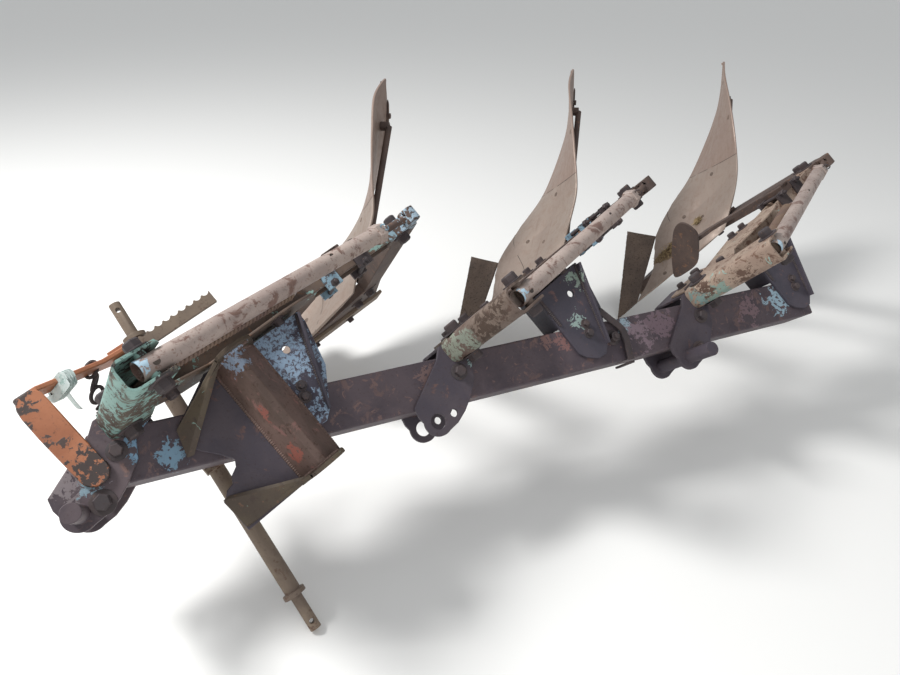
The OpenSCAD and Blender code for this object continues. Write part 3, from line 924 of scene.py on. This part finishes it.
def joint_line(start, end):
    """A thin dark line a little above the board's face, straight in u and v from start to end."""
    u, v = np.linspace(start, end, JOINT_POINTS).T
    path = skin(u, v) - JOINT_LIFT * behind(u, v)
    along = np.gradient(path, axis=0)
    along /= np.linalg.norm(along, axis=1, keepdims=True)
    side = np.cross(along, behind(u, v)) * JOINT_WIDTH / 2.0
    points = np.concatenate((path - side, path + side))
    k = np.arange(JOINT_POINTS - 1)
    return points, [np.stack((k, k + 1, k + 1 + JOINT_POINTS, k + JOINT_POINTS), -1)]


def flush_head(at, out, radius):
    """A countersunk bolt head just proud of a face."""
    return lathe(at + 0.4 * out, -out, ((0.0, radius), (0.7, radius), (1.1, radius * 0.82)), 20)


# The dark strip behind the board's tail, from the low edge, as u and v, with its two bolts
STRIP_U = (0.76, 0.92)
STRIP_V = (0.06, 0.27)
STRIP_GAP = 0.4
STRIP_THICK = 6.0
STRIP_BOLTS = ((0.8, 0.16), (0.88, 0.17))
STRIP_HEAD_DEPTH = 14.5


def tail_strip():
    """The strip on the board's back, bent with it, and the heads of its bolts."""
    u, v = np.meshgrid(np.linspace(*STRIP_U, 30), np.linspace(*STRIP_V, 6), indexing="ij")
    out = behind(u, v)
    shapes = [sheet(skin(u, v) + (BOARD_THICK + STRIP_GAP) * out, out, STRIP_THICK)]
    for bolt in STRIP_BOLTS:
        at, way = on_board(*bolt)
        shapes.append(fastener(at + STRIP_HEAD_DEPTH * way, way, 18.0, 6.0, washer=False))
    return joined(*shapes)


# The skimmer's clamp and shank between two planes across the plough, and its leaf across the way of travel
SKIMMER_Y = (-104.0, -74.0)
SHANK_THICK = 14.0
LEAF_X = -600.0
LEAF_THICK = 8.0
BLOCK = ((-694, -104), (-640, -104), (-640, -14), (-694, -14))
SHANK = ((-684, -14), (-684, -420), (-640, -520), (LEAF_X, -520), (LEAF_X, -430), (-650, -370), (-650, -14))
LEAF = np.array(((-10, -636), (-60, -606), (-120, -548), (-178, -478), (-195, -432), (-182, -402),
                 (-145, -386), (-114, -390), (-70, -428), (-20, -486), (-6, -560)), float)


def skimmer():
    """The clamp block, its flat shank, and the leaf, whose outline is a smooth closed curve through LEAF."""
    block = plate(BLOCK, (0, SKIMMER_Y[1], 0), RIGHT, (1, 0, 0), SKIMMER_Y[1] - SKIMMER_Y[0], 2.0)
    shank = plate(SHANK, (0, SKIMMER_Y[0] + SHANK_THICK, 0), RIGHT, (1, 0, 0), SHANK_THICK, 1.5)
    closed = np.concatenate((LEAF[-1:], LEAF, LEAF[:2]))
    t = np.linspace(1.0, 1.0 + len(LEAF), 4 * len(LEAF), endpoint=False) / (len(closed) - 1)
    leaf = plate(between(closed, t), (LEAF_X, 0, 0), (1, 0, 0), (0, 1, 0), LEAF_THICK, 1.5)
    return joined(block, shank, leaf)


class PLOUGH_OT_boards(bpy.types.Operator):
    """Makes the worn boards, shares and skimmers with their joints, flush bolts and tail strips"""

    bl_idname = "plough.boards"
    bl_label = "Boards, shares and skimmers"

    def execute(self, context):
        shape, u, v = board_shape()
        share = share_shape()
        joints = joined(joint_line(*SHIN_JOINT), joint_line(*TAIL_JOINT))
        heads = [flush_head(*on_board(*bolt), BOARD_HEAD) for bolt in BOARD_BOLTS]
        heads += [flush_head(at, SHARE_OUT, SHARE_HEAD) for at in share_face(*np.array(SHARE_BOLTS).T)]
        for number in BODIES:
            body = f"trip_leg_{number}"
            board = piece(f"board_{number}", shape, "board_worn", body, number, (f"moldboard_{number}",))
            flow_map(board, u, v)
            piece(f"share_blade_{number}", share, "share_pitted", body, number, (f"share_{number}",))
            piece(f"board_joints_{number}", joints, "dark_joints_and_hole_shade", body, number)
            piece(f"board_bolts_{number}", joined(*heads), "share_pitted", body, number)
            piece(f"tail_strip_{number}", tail_strip(), "bare_iron_rust", body, number)
            if f"skimmer_{number}" in frame["nodes"]:
                piece(f"skimmer_leaf_{number}", skimmer(), "bare_iron_rust", body, number,
                      (f"skimmer_{number}",))
        return {"FINISHED"}


# The trip linkage on a working body: the tube runs from the pin in the box's mouth towards the rod's eye

UP, DOWN, RIGHT, LAND = (0, 0, 1), (0, 0, -1), (0, -1, 0), (0, 1, 0)
MOUTH = np.array((-135.0, -54.0, 262.0))
EYE_POINT = np.array((-903.0, -54.0, -13.0))
SLOPE = np.arctan2(MOUTH[2] - EYE_POINT[2], MOUTH[0] - EYE_POINT[0])
# The way back along the tube, and square to it the way down
BACK = np.array((-np.cos(SLOPE), 0.0, -np.sin(SLOPE)))
BELOW = np.array((np.sin(SLOPE), 0.0, -np.cos(SLOPE)))
SPRING_OFF = 52.0
SPRING_RANGE = (60.0, 395.0)
SPRING_RADIUS = 20.0
SEAT_RADIUS = 15.0
SEAT_THICK = 3.0
WIRE_RADIUS = 4.3
WIRE_SIDES = 8
TURN_STEPS = 20
GUIDE_RADIUS = 8.0


def on_strut(s, off=0.0, side=0.0):
    """The point s behind the mouth's pin along the tube, off below its axis and side towards the land."""
    s, off, side = (np.asarray(value, float)[..., None] for value in (s, off, side))
    return MOUTH + s * BACK + off * BELOW + side * np.array(LAND)


def coil(pitch):
    """A helix of round wire: centre = axis + (R cos a, R sin a), where a turns once for each pitch along it."""
    low, high = SPRING_RANGE
    turns = (high - low - 2.0 * WIRE_RADIUS) / pitch
    a = np.linspace(0.0, 2.0 * np.pi * turns, int(turns * TURN_STEPS))
    s = low + WIRE_RADIUS + a / (2.0 * np.pi) * pitch
    ring = np.cos(a)[:, None] * BELOW + np.sin(a)[:, None] * np.array(LAND)
    centre = on_strut(s, SPRING_OFF) + (SPRING_RADIUS - WIRE_RADIUS) * ring
    b = (2.0 * np.pi * np.arange(WIRE_SIDES) / WIRE_SIDES)[None, :, None]
    points = centre[:, None] + WIRE_RADIUS * (np.cos(b) * ring[:, None] + np.sin(b) * BACK)
    side = np.arange(WIRE_SIDES)
    ends = [side[None], (side[::-1] + (len(a) - 1) * WIRE_SIDES)[None]]
    return points.reshape(-1, 3), [quads(len(a), WIRE_SIDES, True), *ends]


class PLOUGH_OT_springs(bpy.types.Operator):
    """Winds the reset springs on their guide rods"""

    bl_idname = "plough.springs"
    bl_label = "Reset springs"

    def execute(self, context):
        low, high = SPRING_RANGE
        guide = lathe(on_strut(0.0, SPRING_OFF), BACK, ((low, GUIDE_RADIUS), (high, GUIDE_RADIUS)), 16)
        seats = [lathe(on_strut(s, SPRING_OFF), BACK, ((0.0, SEAT_RADIUS), (SEAT_THICK, SEAT_RADIUS)), 24)
                 for s in (low, high - SEAT_THICK)]
        spring = joined(coil(settings().coil_pitch * 1000.0), guide, *seats)
        for number in BODIES:
            piece(f"spring_{number}", spring, "spring_dark_steel", f"strut_{number}", number,
                  (f"reset_spring_{number}",))
        return {"FINISHED"}


# Fasteners, each as its place, the way it points and its width over flats

PLATE_TOP = 12.0
UNDER_BEAM = -132.0
BOX_RIGHT, BOX_LAND = -89.0, -19.0
ARM_RIGHT, ARM_LAND = -78.0, -30.0
PIVOT = np.array((-45.0, -54.0, 45.0))
FRAME_BOLTS = (
    # Bracket bolts through both plates
    ((4, -1, PLATE_TOP), UP, 26), ((4, -1, UNDER_BEAM), DOWN, 26),
    # Pins of the trip box
    ((PIVOT[0], BOX_RIGHT, PIVOT[2]), RIGHT, 34), ((PIVOT[0], BOX_LAND, PIVOT[2]), LAND, 34),
    ((MOUTH[0], BOX_RIGHT, MOUTH[2]), RIGHT, 32), ((MOUTH[0], BOX_LAND, MOUTH[2]), LAND, 32),
    # Box foot to bracket
    ((-118, BOX_RIGHT, -20), RIGHT, 26), ((-60, BOX_RIGHT, -42), RIGHT, 20),
    # Rear bracket to beam
    ((-374, 156, 10), UP, 18), ((-384, 130, 10), UP, 16),
)
STOP_BOLT = ((85, 69, PLATE_TOP), UP, 32)
LEG_BOLTS = (
    # Cheeks of the arm
    ((-412, ARM_RIGHT, -92), RIGHT, 22), ((-461, ARM_RIGHT, -80), RIGHT, 22),
    ((-440, ARM_LAND, 10), LAND, 22), ((-150, ARM_RIGHT, 60), RIGHT, 24), ((-150, ARM_LAND, 60), LAND, 24),
    # Leg to arm and frog
    ((-880, -74, -70), RIGHT, 30), ((-903, -74, -115), RIGHT, 26), ((-880, -34, -70), LAND, 30),
    ((-905, -34, -590), LAND, 28), ((-870, -34, -660), LAND, 28), ((-905, -70, -590), RIGHT, 28),
    # Landside to frog
    ((-700, -22, -805), LAND, 20), ((-860, -22, -805), LAND, 20),
)


def heads_of(bolts, first, turned):
    """The heads of some bolts, each turned on its shank a little further than the one before it."""
    heads = [fastener(at, way, width, spin=first + turned * k) for k, (at, way, width) in enumerate(bolts)]
    return joined(*heads)


class PLOUGH_OT_fasteners(bpy.types.Operator):
    """Turns and cuts the bolt heads, nuts and washers"""

    bl_idname = "plough.fasteners"
    bl_label = "Fasteners"

    def execute(self, context):
        for number in BODIES:
            bolts = FRAME_BOLTS if number == 2 else (*FRAME_BOLTS, STOP_BOLT)
            piece(f"frame_bolts_{number}", heads_of(bolts, 0.2, 0.37), "bolt_rust", "frame", number)
            leg = f"trip_leg_{number}"
            piece(f"leg_bolts_{number}", heads_of(LEG_BOLTS, 0.1, 0.53), "bolt_rust", leg, number)
        return {"FINISHED"}


# Clamps, flanges and tubes

# The clamps round each arm, as their x and the height of the arm's top and foot there
CLAMPS = ((-724.0, -26.0, -96.0), (-618.0, -16.0, -85.0))
CLAMP_OUTLINE = ((-22, -38), (22, -38), (22, 38), (-22, 38))
CLAMP_THICK = 10.0
CLAMP_BOLT_OFF = 30.0


def clamp(x, top, foot):
    """A clamp round the arm: a plate over it, one under it, and a long bolt with two nuts on each side."""
    middle = PIVOT[1]
    plates = joined(plate(CLAMP_OUTLINE, (x, middle, top), UP, (1, 0, 0), CLAMP_THICK),
                    plate(CLAMP_OUTLINE, (x, middle, foot), DOWN, (1, 0, 0), CLAMP_THICK))
    bolts = []
    for side in (-1, 1):
        spot = np.array((x, middle + CLAMP_BOLT_OFF * side, 0))
        bolts.append(lathe(spot + (0, 0, foot - 26), UP, ((0.0, 6.0), (top - foot + 50.0, 6.0)), 12))
        bolts.append(fastener(spot + (0, 0, top + CLAMP_THICK), UP, 19, None, False, 8.0, 0.7 * side))
        bolts.append(fastener(spot + (0, 0, foot - CLAMP_THICK), DOWN, 19, None, False, 8.0, 0.4 * side))
    return plates, joined(*bolts)


# The rear bracket's back edge, from its foot to its top
FLANGE_START, FLANGE_END = np.array((-490.0, -10.0, 0.0)), np.array((-403.0, 214.0, 0.0))


def flange():
    """The narrow flange that stands along a rear bracket's back edge."""
    along = FLANGE_END - FLANGE_START
    length = np.linalg.norm(along)
    outline = ((0, -4), (length, -4), (length, 26), (8, 34), (0, 34))
    return plate(outline, FLANGE_START, np.cross(along, UP), along, 7.0)


# The tube along the strut, measured from the pin in the mouth
TUBE_RADIUS = 22.0
TUBE_BORE = 18.5
TUBE_START, TUBE_END = -24.0, 672.0
LOCK_AT = TUBE_END + 24.0
# Where the drilled hole lies on each body's tube
HOLE_AT = (500.0, 500.0, 430.0)


def tube():
    """The tube with its open front, its six-sided end, and the two lugs that hold the spring's rod."""
    r = TUBE_RADIUS
    wall = ((TUBE_START + 90.0, TUBE_BORE), (TUBE_START + 1.0, TUBE_BORE), (TUBE_START, TUBE_BORE + 1.0),
            (TUBE_START, r - 1.0), (TUBE_START + 1.0, r), (TUBE_END, r), (TUBE_END + 4.0, r - 3.0))
    end = ((TUBE_END - 4.0, r + 4.0), (TUBE_END - 2.5, r + 6.0),
           (LOCK_AT - 1.5, r + 6.0), (LOCK_AT, r + 4.0))
    eye = arc((SPRING_OFF, 0.0), 14.0, -75.0, 75.0, 15)
    outline = np.concatenate((((TUBE_BORE + 1.0, -9.0),), eye, ((TUBE_BORE + 1.0, 9.0),)))
    lugs = [plate(outline, on_strut(s), BACK, BELOW, 8.0) for s in (SPRING_RANGE[0] - 8.0, SPRING_RANGE[1])]
    return joined(lathe(on_strut(0.0), BACK, wall, 48), lathe(on_strut(0.0), BACK, end, 6), *lugs)


def tube_lock():
    """The small nut behind the tube's end and the bent wire that keeps it from turning."""
    nut = lathe(on_strut(LOCK_AT), BACK, ((0.0, 18.0), (9.0, 18.0), (11.0, 15.0)), 6)
    t = np.linspace(0.3, 5.9, 30)
    path = on_strut(TUBE_END + 16.0 + 5.0 * np.sin(t), -30.0 - 9.0 * np.cos(t), 9.0 * np.sin(t))
    return joined(nut, sweep(path, round_section(2.0, 8), up=(0.3, 0.9, 0.2)))


def tube_holes(at):
    """Painted shade in the mouths of the tube's drilled hole and of the one at its front: near-black thin discs
    on its top.
    """
    hole = lathe(on_strut(at, 1.2 - TUBE_RADIUS, -6.0), -BELOW, ((0.0, 5.5), (0.5, 5.5)), 20)
    front = lathe(on_strut(8.0, 1.0 - TUBE_RADIUS, 4.0), -BELOW, ((0.0, 8.0), (0.7, 8.0)), 20)
    return joined(hole, front)


class PLOUGH_OT_fittings(bpy.types.Operator):
    """Makes the clamps, flanges and tubes, with the lock behind each tube and the painted shade of its small
    holes
    """

    bl_idname = "plough.fittings"
    bl_label = "Clamps, flanges and tubes"

    def execute(self, context):
        for number in BODIES:
            leg, strut = f"trip_leg_{number}", f"strut_{number}"
            for k, places in enumerate(CLAMPS):
                plates, bolts = clamp(*places)
                coat = "clamp_blue" if k and number < 3 else "bolt_rust"
                piece(f"clamp_plates_{k + 1}_{number}", plates, coat, leg, number)
                piece(f"clamp_bolts_{k + 1}_{number}", bolts, "bolt_rust", leg, number)
            piece(f"rear_flange_{number}", flange(), "bracket_slate_blue", "frame", number)
            piece(f"tube_{number}", tube(), "tube_thin_rust", strut, number, (f"reaction_tube_{number}",))
            coat = "bolt_rust" if number > 1 else "clamp_blue"
            piece(f"tube_lock_{number}", tube_lock(), coat, strut, number)
            # Painted shade: dark discs where the tube's holes open
            piece(f"tube_holes_{number}", tube_holes(HOLE_AT[number - 1]), "dark_joints_and_hole_shade", strut, number)
        return {"FINISHED"}


# The strap at the front: its leg along the beam as x and y, and the one down to the toothed bar as x and z
STRAP_THICK = 12.0
NEAR_LEG = ((97, -60), (100, -112), (101, -165), (99, -184), (93, -198), (83, -206), (60, -208), (47, -202),
            (41, -190), (39, -150), (37, -90), (33, 6))
FAR_LEG = ((94, 12), (89, 18), (44, 18), (30, 6), (-92, -92), (-146, -100), (-152, -108), (-152, -146),
           (-146, -152), (-96, -150), (64, -22), (84, -6), (92, 2))
FAR_LEG_Y = -197
STRAP_FOOT = ((-22, -18), (20, -18), (20, 18), (-22, 18))
# The cloth wound round the strap: the middle of the bundle, the way it creeps along, and the two ways round
CLOTH_TURNS = 4.0
CLOTH_WIDE = 24.0
CLOTH_THICK = 1.4
CLOTH_MIDDLE = np.array((16.0, -191.0, -16.0))
CLOTH_ALONG = np.array((-0.78, 0.0, -0.63))
CLOTH_ACROSS = np.array((0.63, 0.0, -0.78))
CLOTH_CREEP = 26.0
# The three links of chain, as their middles
LINKS = ((-60, -205, -100), (-48, -178, -112), (-36, -150, -104))
LINK_HALF = (20.0, 12.0)
LINK_WIRE = 4.5
# The flat strip that lies across the beam
BEAM_STRIP = np.array(((-446.0, 128.0, 13.5), (-455.0, 165.0, 13.5), (-466.0, 212.0, 13.5),
                       (-452.0, 246.0, 13.5), (-425.0, 292.0, 13.5)))
STRIP_END = ((-10, 0), (10, 0), (10, 70), (6, 76), (-6, 76), (-10, 70))


def strap():
    """The strap: a round-tipped leg on the bracket, one down from its fold, and a foot on the toothed bar."""
    outline = np.concatenate((np.array(NEAR_LEG), arc((62.0, 8.0), 31.0, 190.0, -6.0, 16)))
    near_leg = plate(outline, (0, 0, PLATE_TOP), UP, (1, 0, 0), STRAP_THICK, 2.5)
    far_leg = plate(FAR_LEG, (0, FAR_LEG_Y, 4), RIGHT, (1, 0, 0), STRAP_THICK, 2.5)
    foot = plate(STRAP_FOOT, (-128, -204, -130), UP, (1, 0, 0), STRAP_THICK)
    return joined(near_leg, far_leg, foot)


def cloth_paths():
    """The middle line of the wound cloth and that of its loose end.

    The winding is a flattened turn that creeps along the strap, 32 tanh(2.2 cos a) across and
    8.5 tanh(2.2 sin a) deep, with a small crease at five times a. The loose end falls in a wave.
    """
    t = np.linspace(0.0, 1.0, 160)[:, None]
    a = 2.0 * np.pi * CLOTH_TURNS * t
    reach = np.tanh(2.2 * np.cos(a)) * 32.0 + 1.5 * np.sin(5.0 * a)
    deep = np.tanh(2.2 * np.sin(a)) * 8.5
    wound = CLOTH_MIDDLE + CLOTH_CREEP * t * CLOTH_ALONG + reach * CLOTH_ACROSS + deep * np.array(LAND)
    t = np.linspace(0.0, 1.0, 60)
    loose = np.stack((-6.0 + 16.0 * np.sin(2.0 * t), -208.0 + 60.0 * t + 8.0 * np.sin(9.0 * t),
                      -30.0 - 60.0 * t + 10.0 * np.sin(6.0 * t)), -1)
    return wound, loose


def chain():
    """Three links, each an ellipse of round bar, turned by a quarter from one to the next."""
    a = np.linspace(0.0, 2.0 * np.pi, 33)[:, None]
    first = np.array((0.75, 0.65, 0.1))
    links = []
    for k, centre in enumerate(LINKS):
        second = np.array((0.0, 0.0, 1.0)) if k % 2 else np.array((0.65, -0.75, 0.0))
        ring = np.array(centre) + LINK_HALF[0] * np.cos(a) * first + LINK_HALF[1] * np.sin(a) * second
        links.append(sweep(ring, round_section(LINK_WIRE, 10), up=np.cross(first, second)))
    return joined(*links)


def beam_strip():
    """The strip across the beam, its end bent down the beam's side, and its nut."""
    over_beam = sweep(between(BEAM_STRIP, np.linspace(0.0, 1.0, 24)), flat_section(20.0, 6.0))
    down = plate(STRIP_END, (-423, 296, 12), (0.44, 0.9, 0), (0.9, -0.44, 0), 6.0)
    return joined(over_beam, down, fastener((-431, 214, 2), UP, 26, thread=6.0))


class PLOUGH_OT_strap(bpy.types.Operator):
    """Bends the orange strap, winds the cloth round it, and adds the chain and the strip across the beam"""

    bl_idname = "plough.strap"
    bl_label = "Strap, cloth and chain"

    def execute(self, context):
        piece("front_strap", strap(), "strap_orange", "frame", 1, ("hitch_strap",))
        wound, loose = cloth_paths()
        section = flat_section(CLOTH_WIDE, CLOTH_THICK)
        wrap, end = sweep(wound, section, up=tuple(CLOTH_ALONG)), sweep(loose, section, up=(1.0, 0.2, 0.3))
        cloth = piece("strap_cloth", joined(wrap, end), "tape_white", "frame", 1)
        piece("front_chain", chain(), "bolt_rust", "frame", 1)
        piece("beam_strip", beam_strip(), "bolt_rust", "frame", 2)
        return {"FINISHED"}


# The mast's foot on the beam, with the notch burnt out of its front edge, as x and y
MAST_FOOT = ((-295, -26), (-230, -26), (-111, 39), (-107, 80), (-122, 106), (-150, 142), (-166, 168),
             (-158, 182), (-139, 192), (-130, 207), (-112, 211), (-101, 222), (-92, 227), (-94, 262),
             (-95, 308), (-295, 310))


class PLOUGH_OT_mast_foot(bpy.types.Operator):
    """Cuts the plate that carries the mast"""

    bl_idname = "plough.mast_foot"
    bl_label = "Mast foot"

    def execute(self, context):
        foot = plate(MAST_FOOT, (0, 0, 0), UP, (1, 0, 0), PLATE_TOP, 1.6)
        piece("mast_foot", foot, "plate_slate_paint", "frame", 1, ("mast_plate",))
        return {"FINISHED"}


# Weld beads where plates meet, as start and end on one working body, and the length of their ripples

RIPPLE = 5.5
FRAME_WELDS = (
    ((-12, -89, 13), (-90, -89, 13)), ((-6, -30, 13), (-6, -78, 13)), ((-88, -18, 13), (-20, -18, 13)),
    ((-484, -16, 11), (-404, 200, 11)), ((-318, -10, 11), (-318, 90, 11)),
    ((-480, -8, 1), (-330, -8, 1)),
)
MAST_WELDS = (
    ((-356, -16, 13), (-356, 300, 13)), ((-250, -14, 13), (-250, 298, 13)),
    ((-338, -15, 100), (-276, -15, 100)), ((-338, 299, 100), (-276, 299, 100)),
    ((-350, -15, 20), (-303, -15, 98)), ((-256, -15, 20), (-288, -15, 98)),
    ((-350, 299, 20), (-303, 299, 98)), ((-256, 299, 20), (-288, 299, 98)),
)


def bead(start, end, size):
    """A weld bead: a round section along a line.

    Its radius is the size times 1 + 0.16 sin(2 pi x / ripple), and it runs out to 0.55 of that at both ends.
    """
    start, end = np.asarray(start, float), np.asarray(end, float)
    length = np.linalg.norm(end - start)
    t = np.linspace(0.0, 1.0, max(int(length / 2.0), 8))
    ripples = 1.0 + 0.16 * np.sin(2.0 * np.pi * t * length / RIPPLE)
    radius = size * ripples * (0.55 + 0.45 * np.sin(np.pi * t) ** 0.3)
    return lathe(start, end - start, np.stack((t * length, radius), -1), 10)


class PLOUGH_OT_welds(bpy.types.Operator):
    """Lays the weld beads"""

    bl_idname = "plough.welds"
    bl_label = "Weld beads"

    def execute(self, context):
        size = settings().weld_size * 1000.0
        for number in BODIES:
            beads = [bead(*ends, size) for ends in FRAME_WELDS]
            piece(f"frame_welds_{number}", joined(*beads), "bolt_rust", "frame", number)
        piece("mast_welds", joined(*(bead(*ends, size) for ends in MAST_WELDS)), "mast_brown", "frame", 1)
        return {"FINISHED"}


# Dry soil and straw caught on the boards: place as u and v, size along and across in millimetres, body

CLUMPS = (((0.2, 0.16), (52.0, 60.0), 3), ((0.1, 0.12), (22.0, 16.0), 2), ((0.24, 0.5), (8.0, 10.0), 3))
CLUMP_RINGS = 26
CLUMP_SIDES = 64
STRAW_RADIUS = 0.8


def on_face(u, v):
    """Points of the board's face and the unit vectors out of its back, kept within its edges."""
    return skin(np.clip(u, 0, 1), np.clip(v, 0, 1)), behind(np.clip(u, 0.01, 0.99), np.clip(v, 0.01, 0.99))


def clump(u, v, size, seed):
    """A crust of soil on the board: a disc with a ragged rim, lifted by a dome, 1 - r r, times ripples."""
    angles = 2.0 * np.pi * np.arange(CLUMP_SIDES) / CLUMP_SIDES
    r, a = np.meshgrid(np.linspace(0.0, 1.0, CLUMP_RINGS), angles, indexing="ij")
    rim = 1.0 + 0.22 * np.sin(3.0 * a + seed) + 0.12 * np.sin(7.0 * a + 2.0 * seed)
    du = r * rim * np.cos(a) * size[0] / (1000.0 * BOARD_SPAN[0])
    dv = r * rim * np.sin(a) * size[1] / (1000.0 * BOARD_SPAN[1])
    spots, out = on_face(u + du, v + dv)
    ripples = 4.0 * np.sin(1700.0 * du + seed) * np.sin(1300.0 * dv) + 3.0 * np.sin(r * 23.0 + 5.0 * a)
    lift = (1.0 - r ** 2) * (9.0 + ripples) - 0.6
    points = spots - lift[..., None] * out
    return points.reshape(-1, 3), [quads(CLUMP_RINGS, CLUMP_SIDES, True)[:, ::-1]]


def straw(u, v, size, seed, count):
    """Thin bent stalks scattered over a clump, each a three-sided tube of two lengths."""
    random = np.random.default_rng(seed)
    spread = np.array(size)[:, None] / (1000.0 * np.array(BOARD_SPAN)[:, None])
    du, dv = random.normal(0.0, 0.45, (2, count)) * spread
    at, inward = on_face(u + du, v + dv)
    out = -inward
    way = random.normal(0.0, 1.0, (count, 3))
    way -= 0.85 * np.sum(way * out, -1, keepdims=True) * out
    way *= random.uniform(7.0, 22.0, (count, 1)) / np.linalg.norm(way, axis=1, keepdims=True)
    lift = out * random.uniform(3.0, 11.0, (count, 1))
    middle = at + lift
    line = np.stack((middle - way, middle + 0.3 * lift, middle + way * 0.8 + 0.2 * lift), 1)
    a = 2.0 * np.pi * np.arange(3) / 3
    side = np.cross(way, out)
    side /= np.linalg.norm(side, axis=1, keepdims=True)
    ring = STRAW_RADIUS * (np.cos(a)[:, None] * side[:, None] + np.sin(a)[:, None] * out[:, None])
    points = line[:, :, None] + ring[:, None]
    starts = 9 * np.arange(count)[:, None, None]
    walls = quads(3, 3, True)[None] + starts
    ends = np.array(((0, 1, 2), (8, 7, 6)))[None] + starts
    return points.reshape(-1, 3), [walls.reshape(-1, 4), ends.reshape(-1, 3)]


class PLOUGH_OT_soil(bpy.types.Operator):
    """Leaves the dry soil and straw on the boards"""

    bl_idname = "plough.soil"
    bl_label = "Soil and straw"

    def execute(self, context):
        count = settings().straws
        for k, (spot, size, number) in enumerate(CLUMPS):
            body = f"trip_leg_{number}"
            piece(f"soil_{k + 1}", clump(*spot, size, 1.7 * k), "dirt_dry", body, number)
            piece(f"straw_{k + 1}", straw(*spot, size, 11 + k, count), "straw_dry", body, number)
        return {"FINISHED"}


# The camera's place and its right and up, on the working plough, and its picture in pixels

EYE = (679.0, -97.0, 1601.0)
EYE_RIGHT = (-0.699, 0.639, 0.321)
EYE_UP = (-0.585, -0.769, 0.257)
IMAGE_WIDTH = 900
FOCAL_PIXELS = 676.0
SENSOR_MM = 36.0

# The stage in metres: the floor, the sky, and each lamp's name, place, share of the lamp power and width
FLOOR_HALF = 40.0
SKY_COLOUR = "#eef1f4"
SKY_STRENGTH = 0.62
LAMPS = (("key", (3.3, -1.0, 4.1), 1.12, 1.1), ("fill", (0.5, 4.6, 2.6), 0.16, 3.0))
LIT_POINT = Vector((0.0, 0.0, 0.45))


def stand_camera(scene):
    """Puts the camera at its place, with its right and up made square to each other."""
    camera = bpy.data.objects.new("camera", bpy.data.cameras.new("camera"))
    scene.collection.objects.link(camera)
    right, up = heading(EYE_RIGHT), heading(EYE_UP)
    right /= np.linalg.norm(right)
    back = np.cross(right, up)
    back /= np.linalg.norm(back)
    up = np.cross(back, right)
    rows = [(*row, place) for row, place in zip(np.stack((right, up, back), 1), lay(EYE))]
    camera.matrix_world = Matrix([*rows, (0.0, 0.0, 0.0, 1.0)])
    camera.data.sensor_width = SENSOR_MM
    camera.data.lens = SENSOR_MM * FOCAL_PIXELS / IMAGE_WIDTH
    camera.data.clip_end = 100.0
    scene.camera = camera


class PLOUGH_OT_stage(bpy.types.Operator):
    """Sets the pale floor, the soft lamps and the camera"""

    bl_idname = "plough.stage"
    bl_label = "Stage"

    def execute(self, context):
        scene = context.scene
        stand_camera(scene)

        half = FLOOR_HALF
        corners = [(-half, -half, 0), (half, -half, 0), (half, half, 0), (-half, half, 0)]
        mesh = bpy.data.meshes.new("floor")
        mesh.from_pydata(corners, [], [(0, 1, 2, 3)])
        floor = bpy.data.objects.new("floor", mesh)
        scene.collection.objects.link(floor)
        # Matt painted board
        material, _, shader, _ = begin("studio_floor")
        shader.inputs["Base Color"].default_value = settings().floor_colour
        shader.inputs["Roughness"].default_value = 0.85
        mesh.materials.append(material)

        world = bpy.data.worlds.new("studio")
        world.use_nodes = True
        sky = world.node_tree.nodes["Background"]
        sky.inputs["Color"].default_value = linear(SKY_COLOUR)
        sky.inputs["Strength"].default_value = SKY_STRENGTH
        scene.world = world
        for name, spot, share, width in LAMPS:
            lamp = bpy.data.lights.new(name, "AREA")
            lamp.energy = settings().lamp_power * share
            lamp.size = width
            holder = bpy.data.objects.new(name, lamp)
            holder.location = spot
            holder.rotation_euler = (LIT_POINT - Vector(spot)).to_track_quat("-Z", "Y").to_euler()
            scene.collection.objects.link(holder)
        scene.view_settings.view_transform = "Standard"
        return {"FINISHED"}


class PLOUGH_PT_panel(bpy.types.Panel):
    """Lists the settings and the steps"""

    bl_idname = "PLOUGH_PT_panel"
    bl_label = "Plough"
    bl_space_type = "VIEW_3D"
    bl_region_type = "UI"
    bl_category = "Plough"

    def draw(self, context):
        for name in PloughSettings.__annotations__:
            self.layout.prop(context.scene.plough, name)
        for operator in OPERATORS:
            self.layout.operator(operator.bl_idname)


OPERATORS = (PLOUGH_OT_coats, PLOUGH_OT_edges, PLOUGH_OT_boards, PLOUGH_OT_springs, PLOUGH_OT_fasteners,
             PLOUGH_OT_fittings, PLOUGH_OT_strap, PLOUGH_OT_mast_foot, PLOUGH_OT_welds, PLOUGH_OT_soil,
             PLOUGH_OT_stage)
CLASSES = (PloughSettings, *OPERATORS, PLOUGH_PT_panel)


def register():
    """Makes the settings, the steps and the panel known, and gives each scene its settings."""
    for kind in CLASSES:
        bpy.utils.register_class(kind)
    bpy.types.Scene.plough = bpy.props.PointerProperty(type=PloughSettings)


def unregister():
    """Takes back what register made known."""
    del bpy.types.Scene.plough
    for kind in reversed(CLASSES):
        bpy.utils.unregister_class(kind)


def main():
    """Takes every step in order."""
    register()
    for operator in OPERATORS:
        group, name = operator.bl_idname.split(".")
        getattr(getattr(bpy.ops, group), name)()


if __name__ == "__main__":
    main()
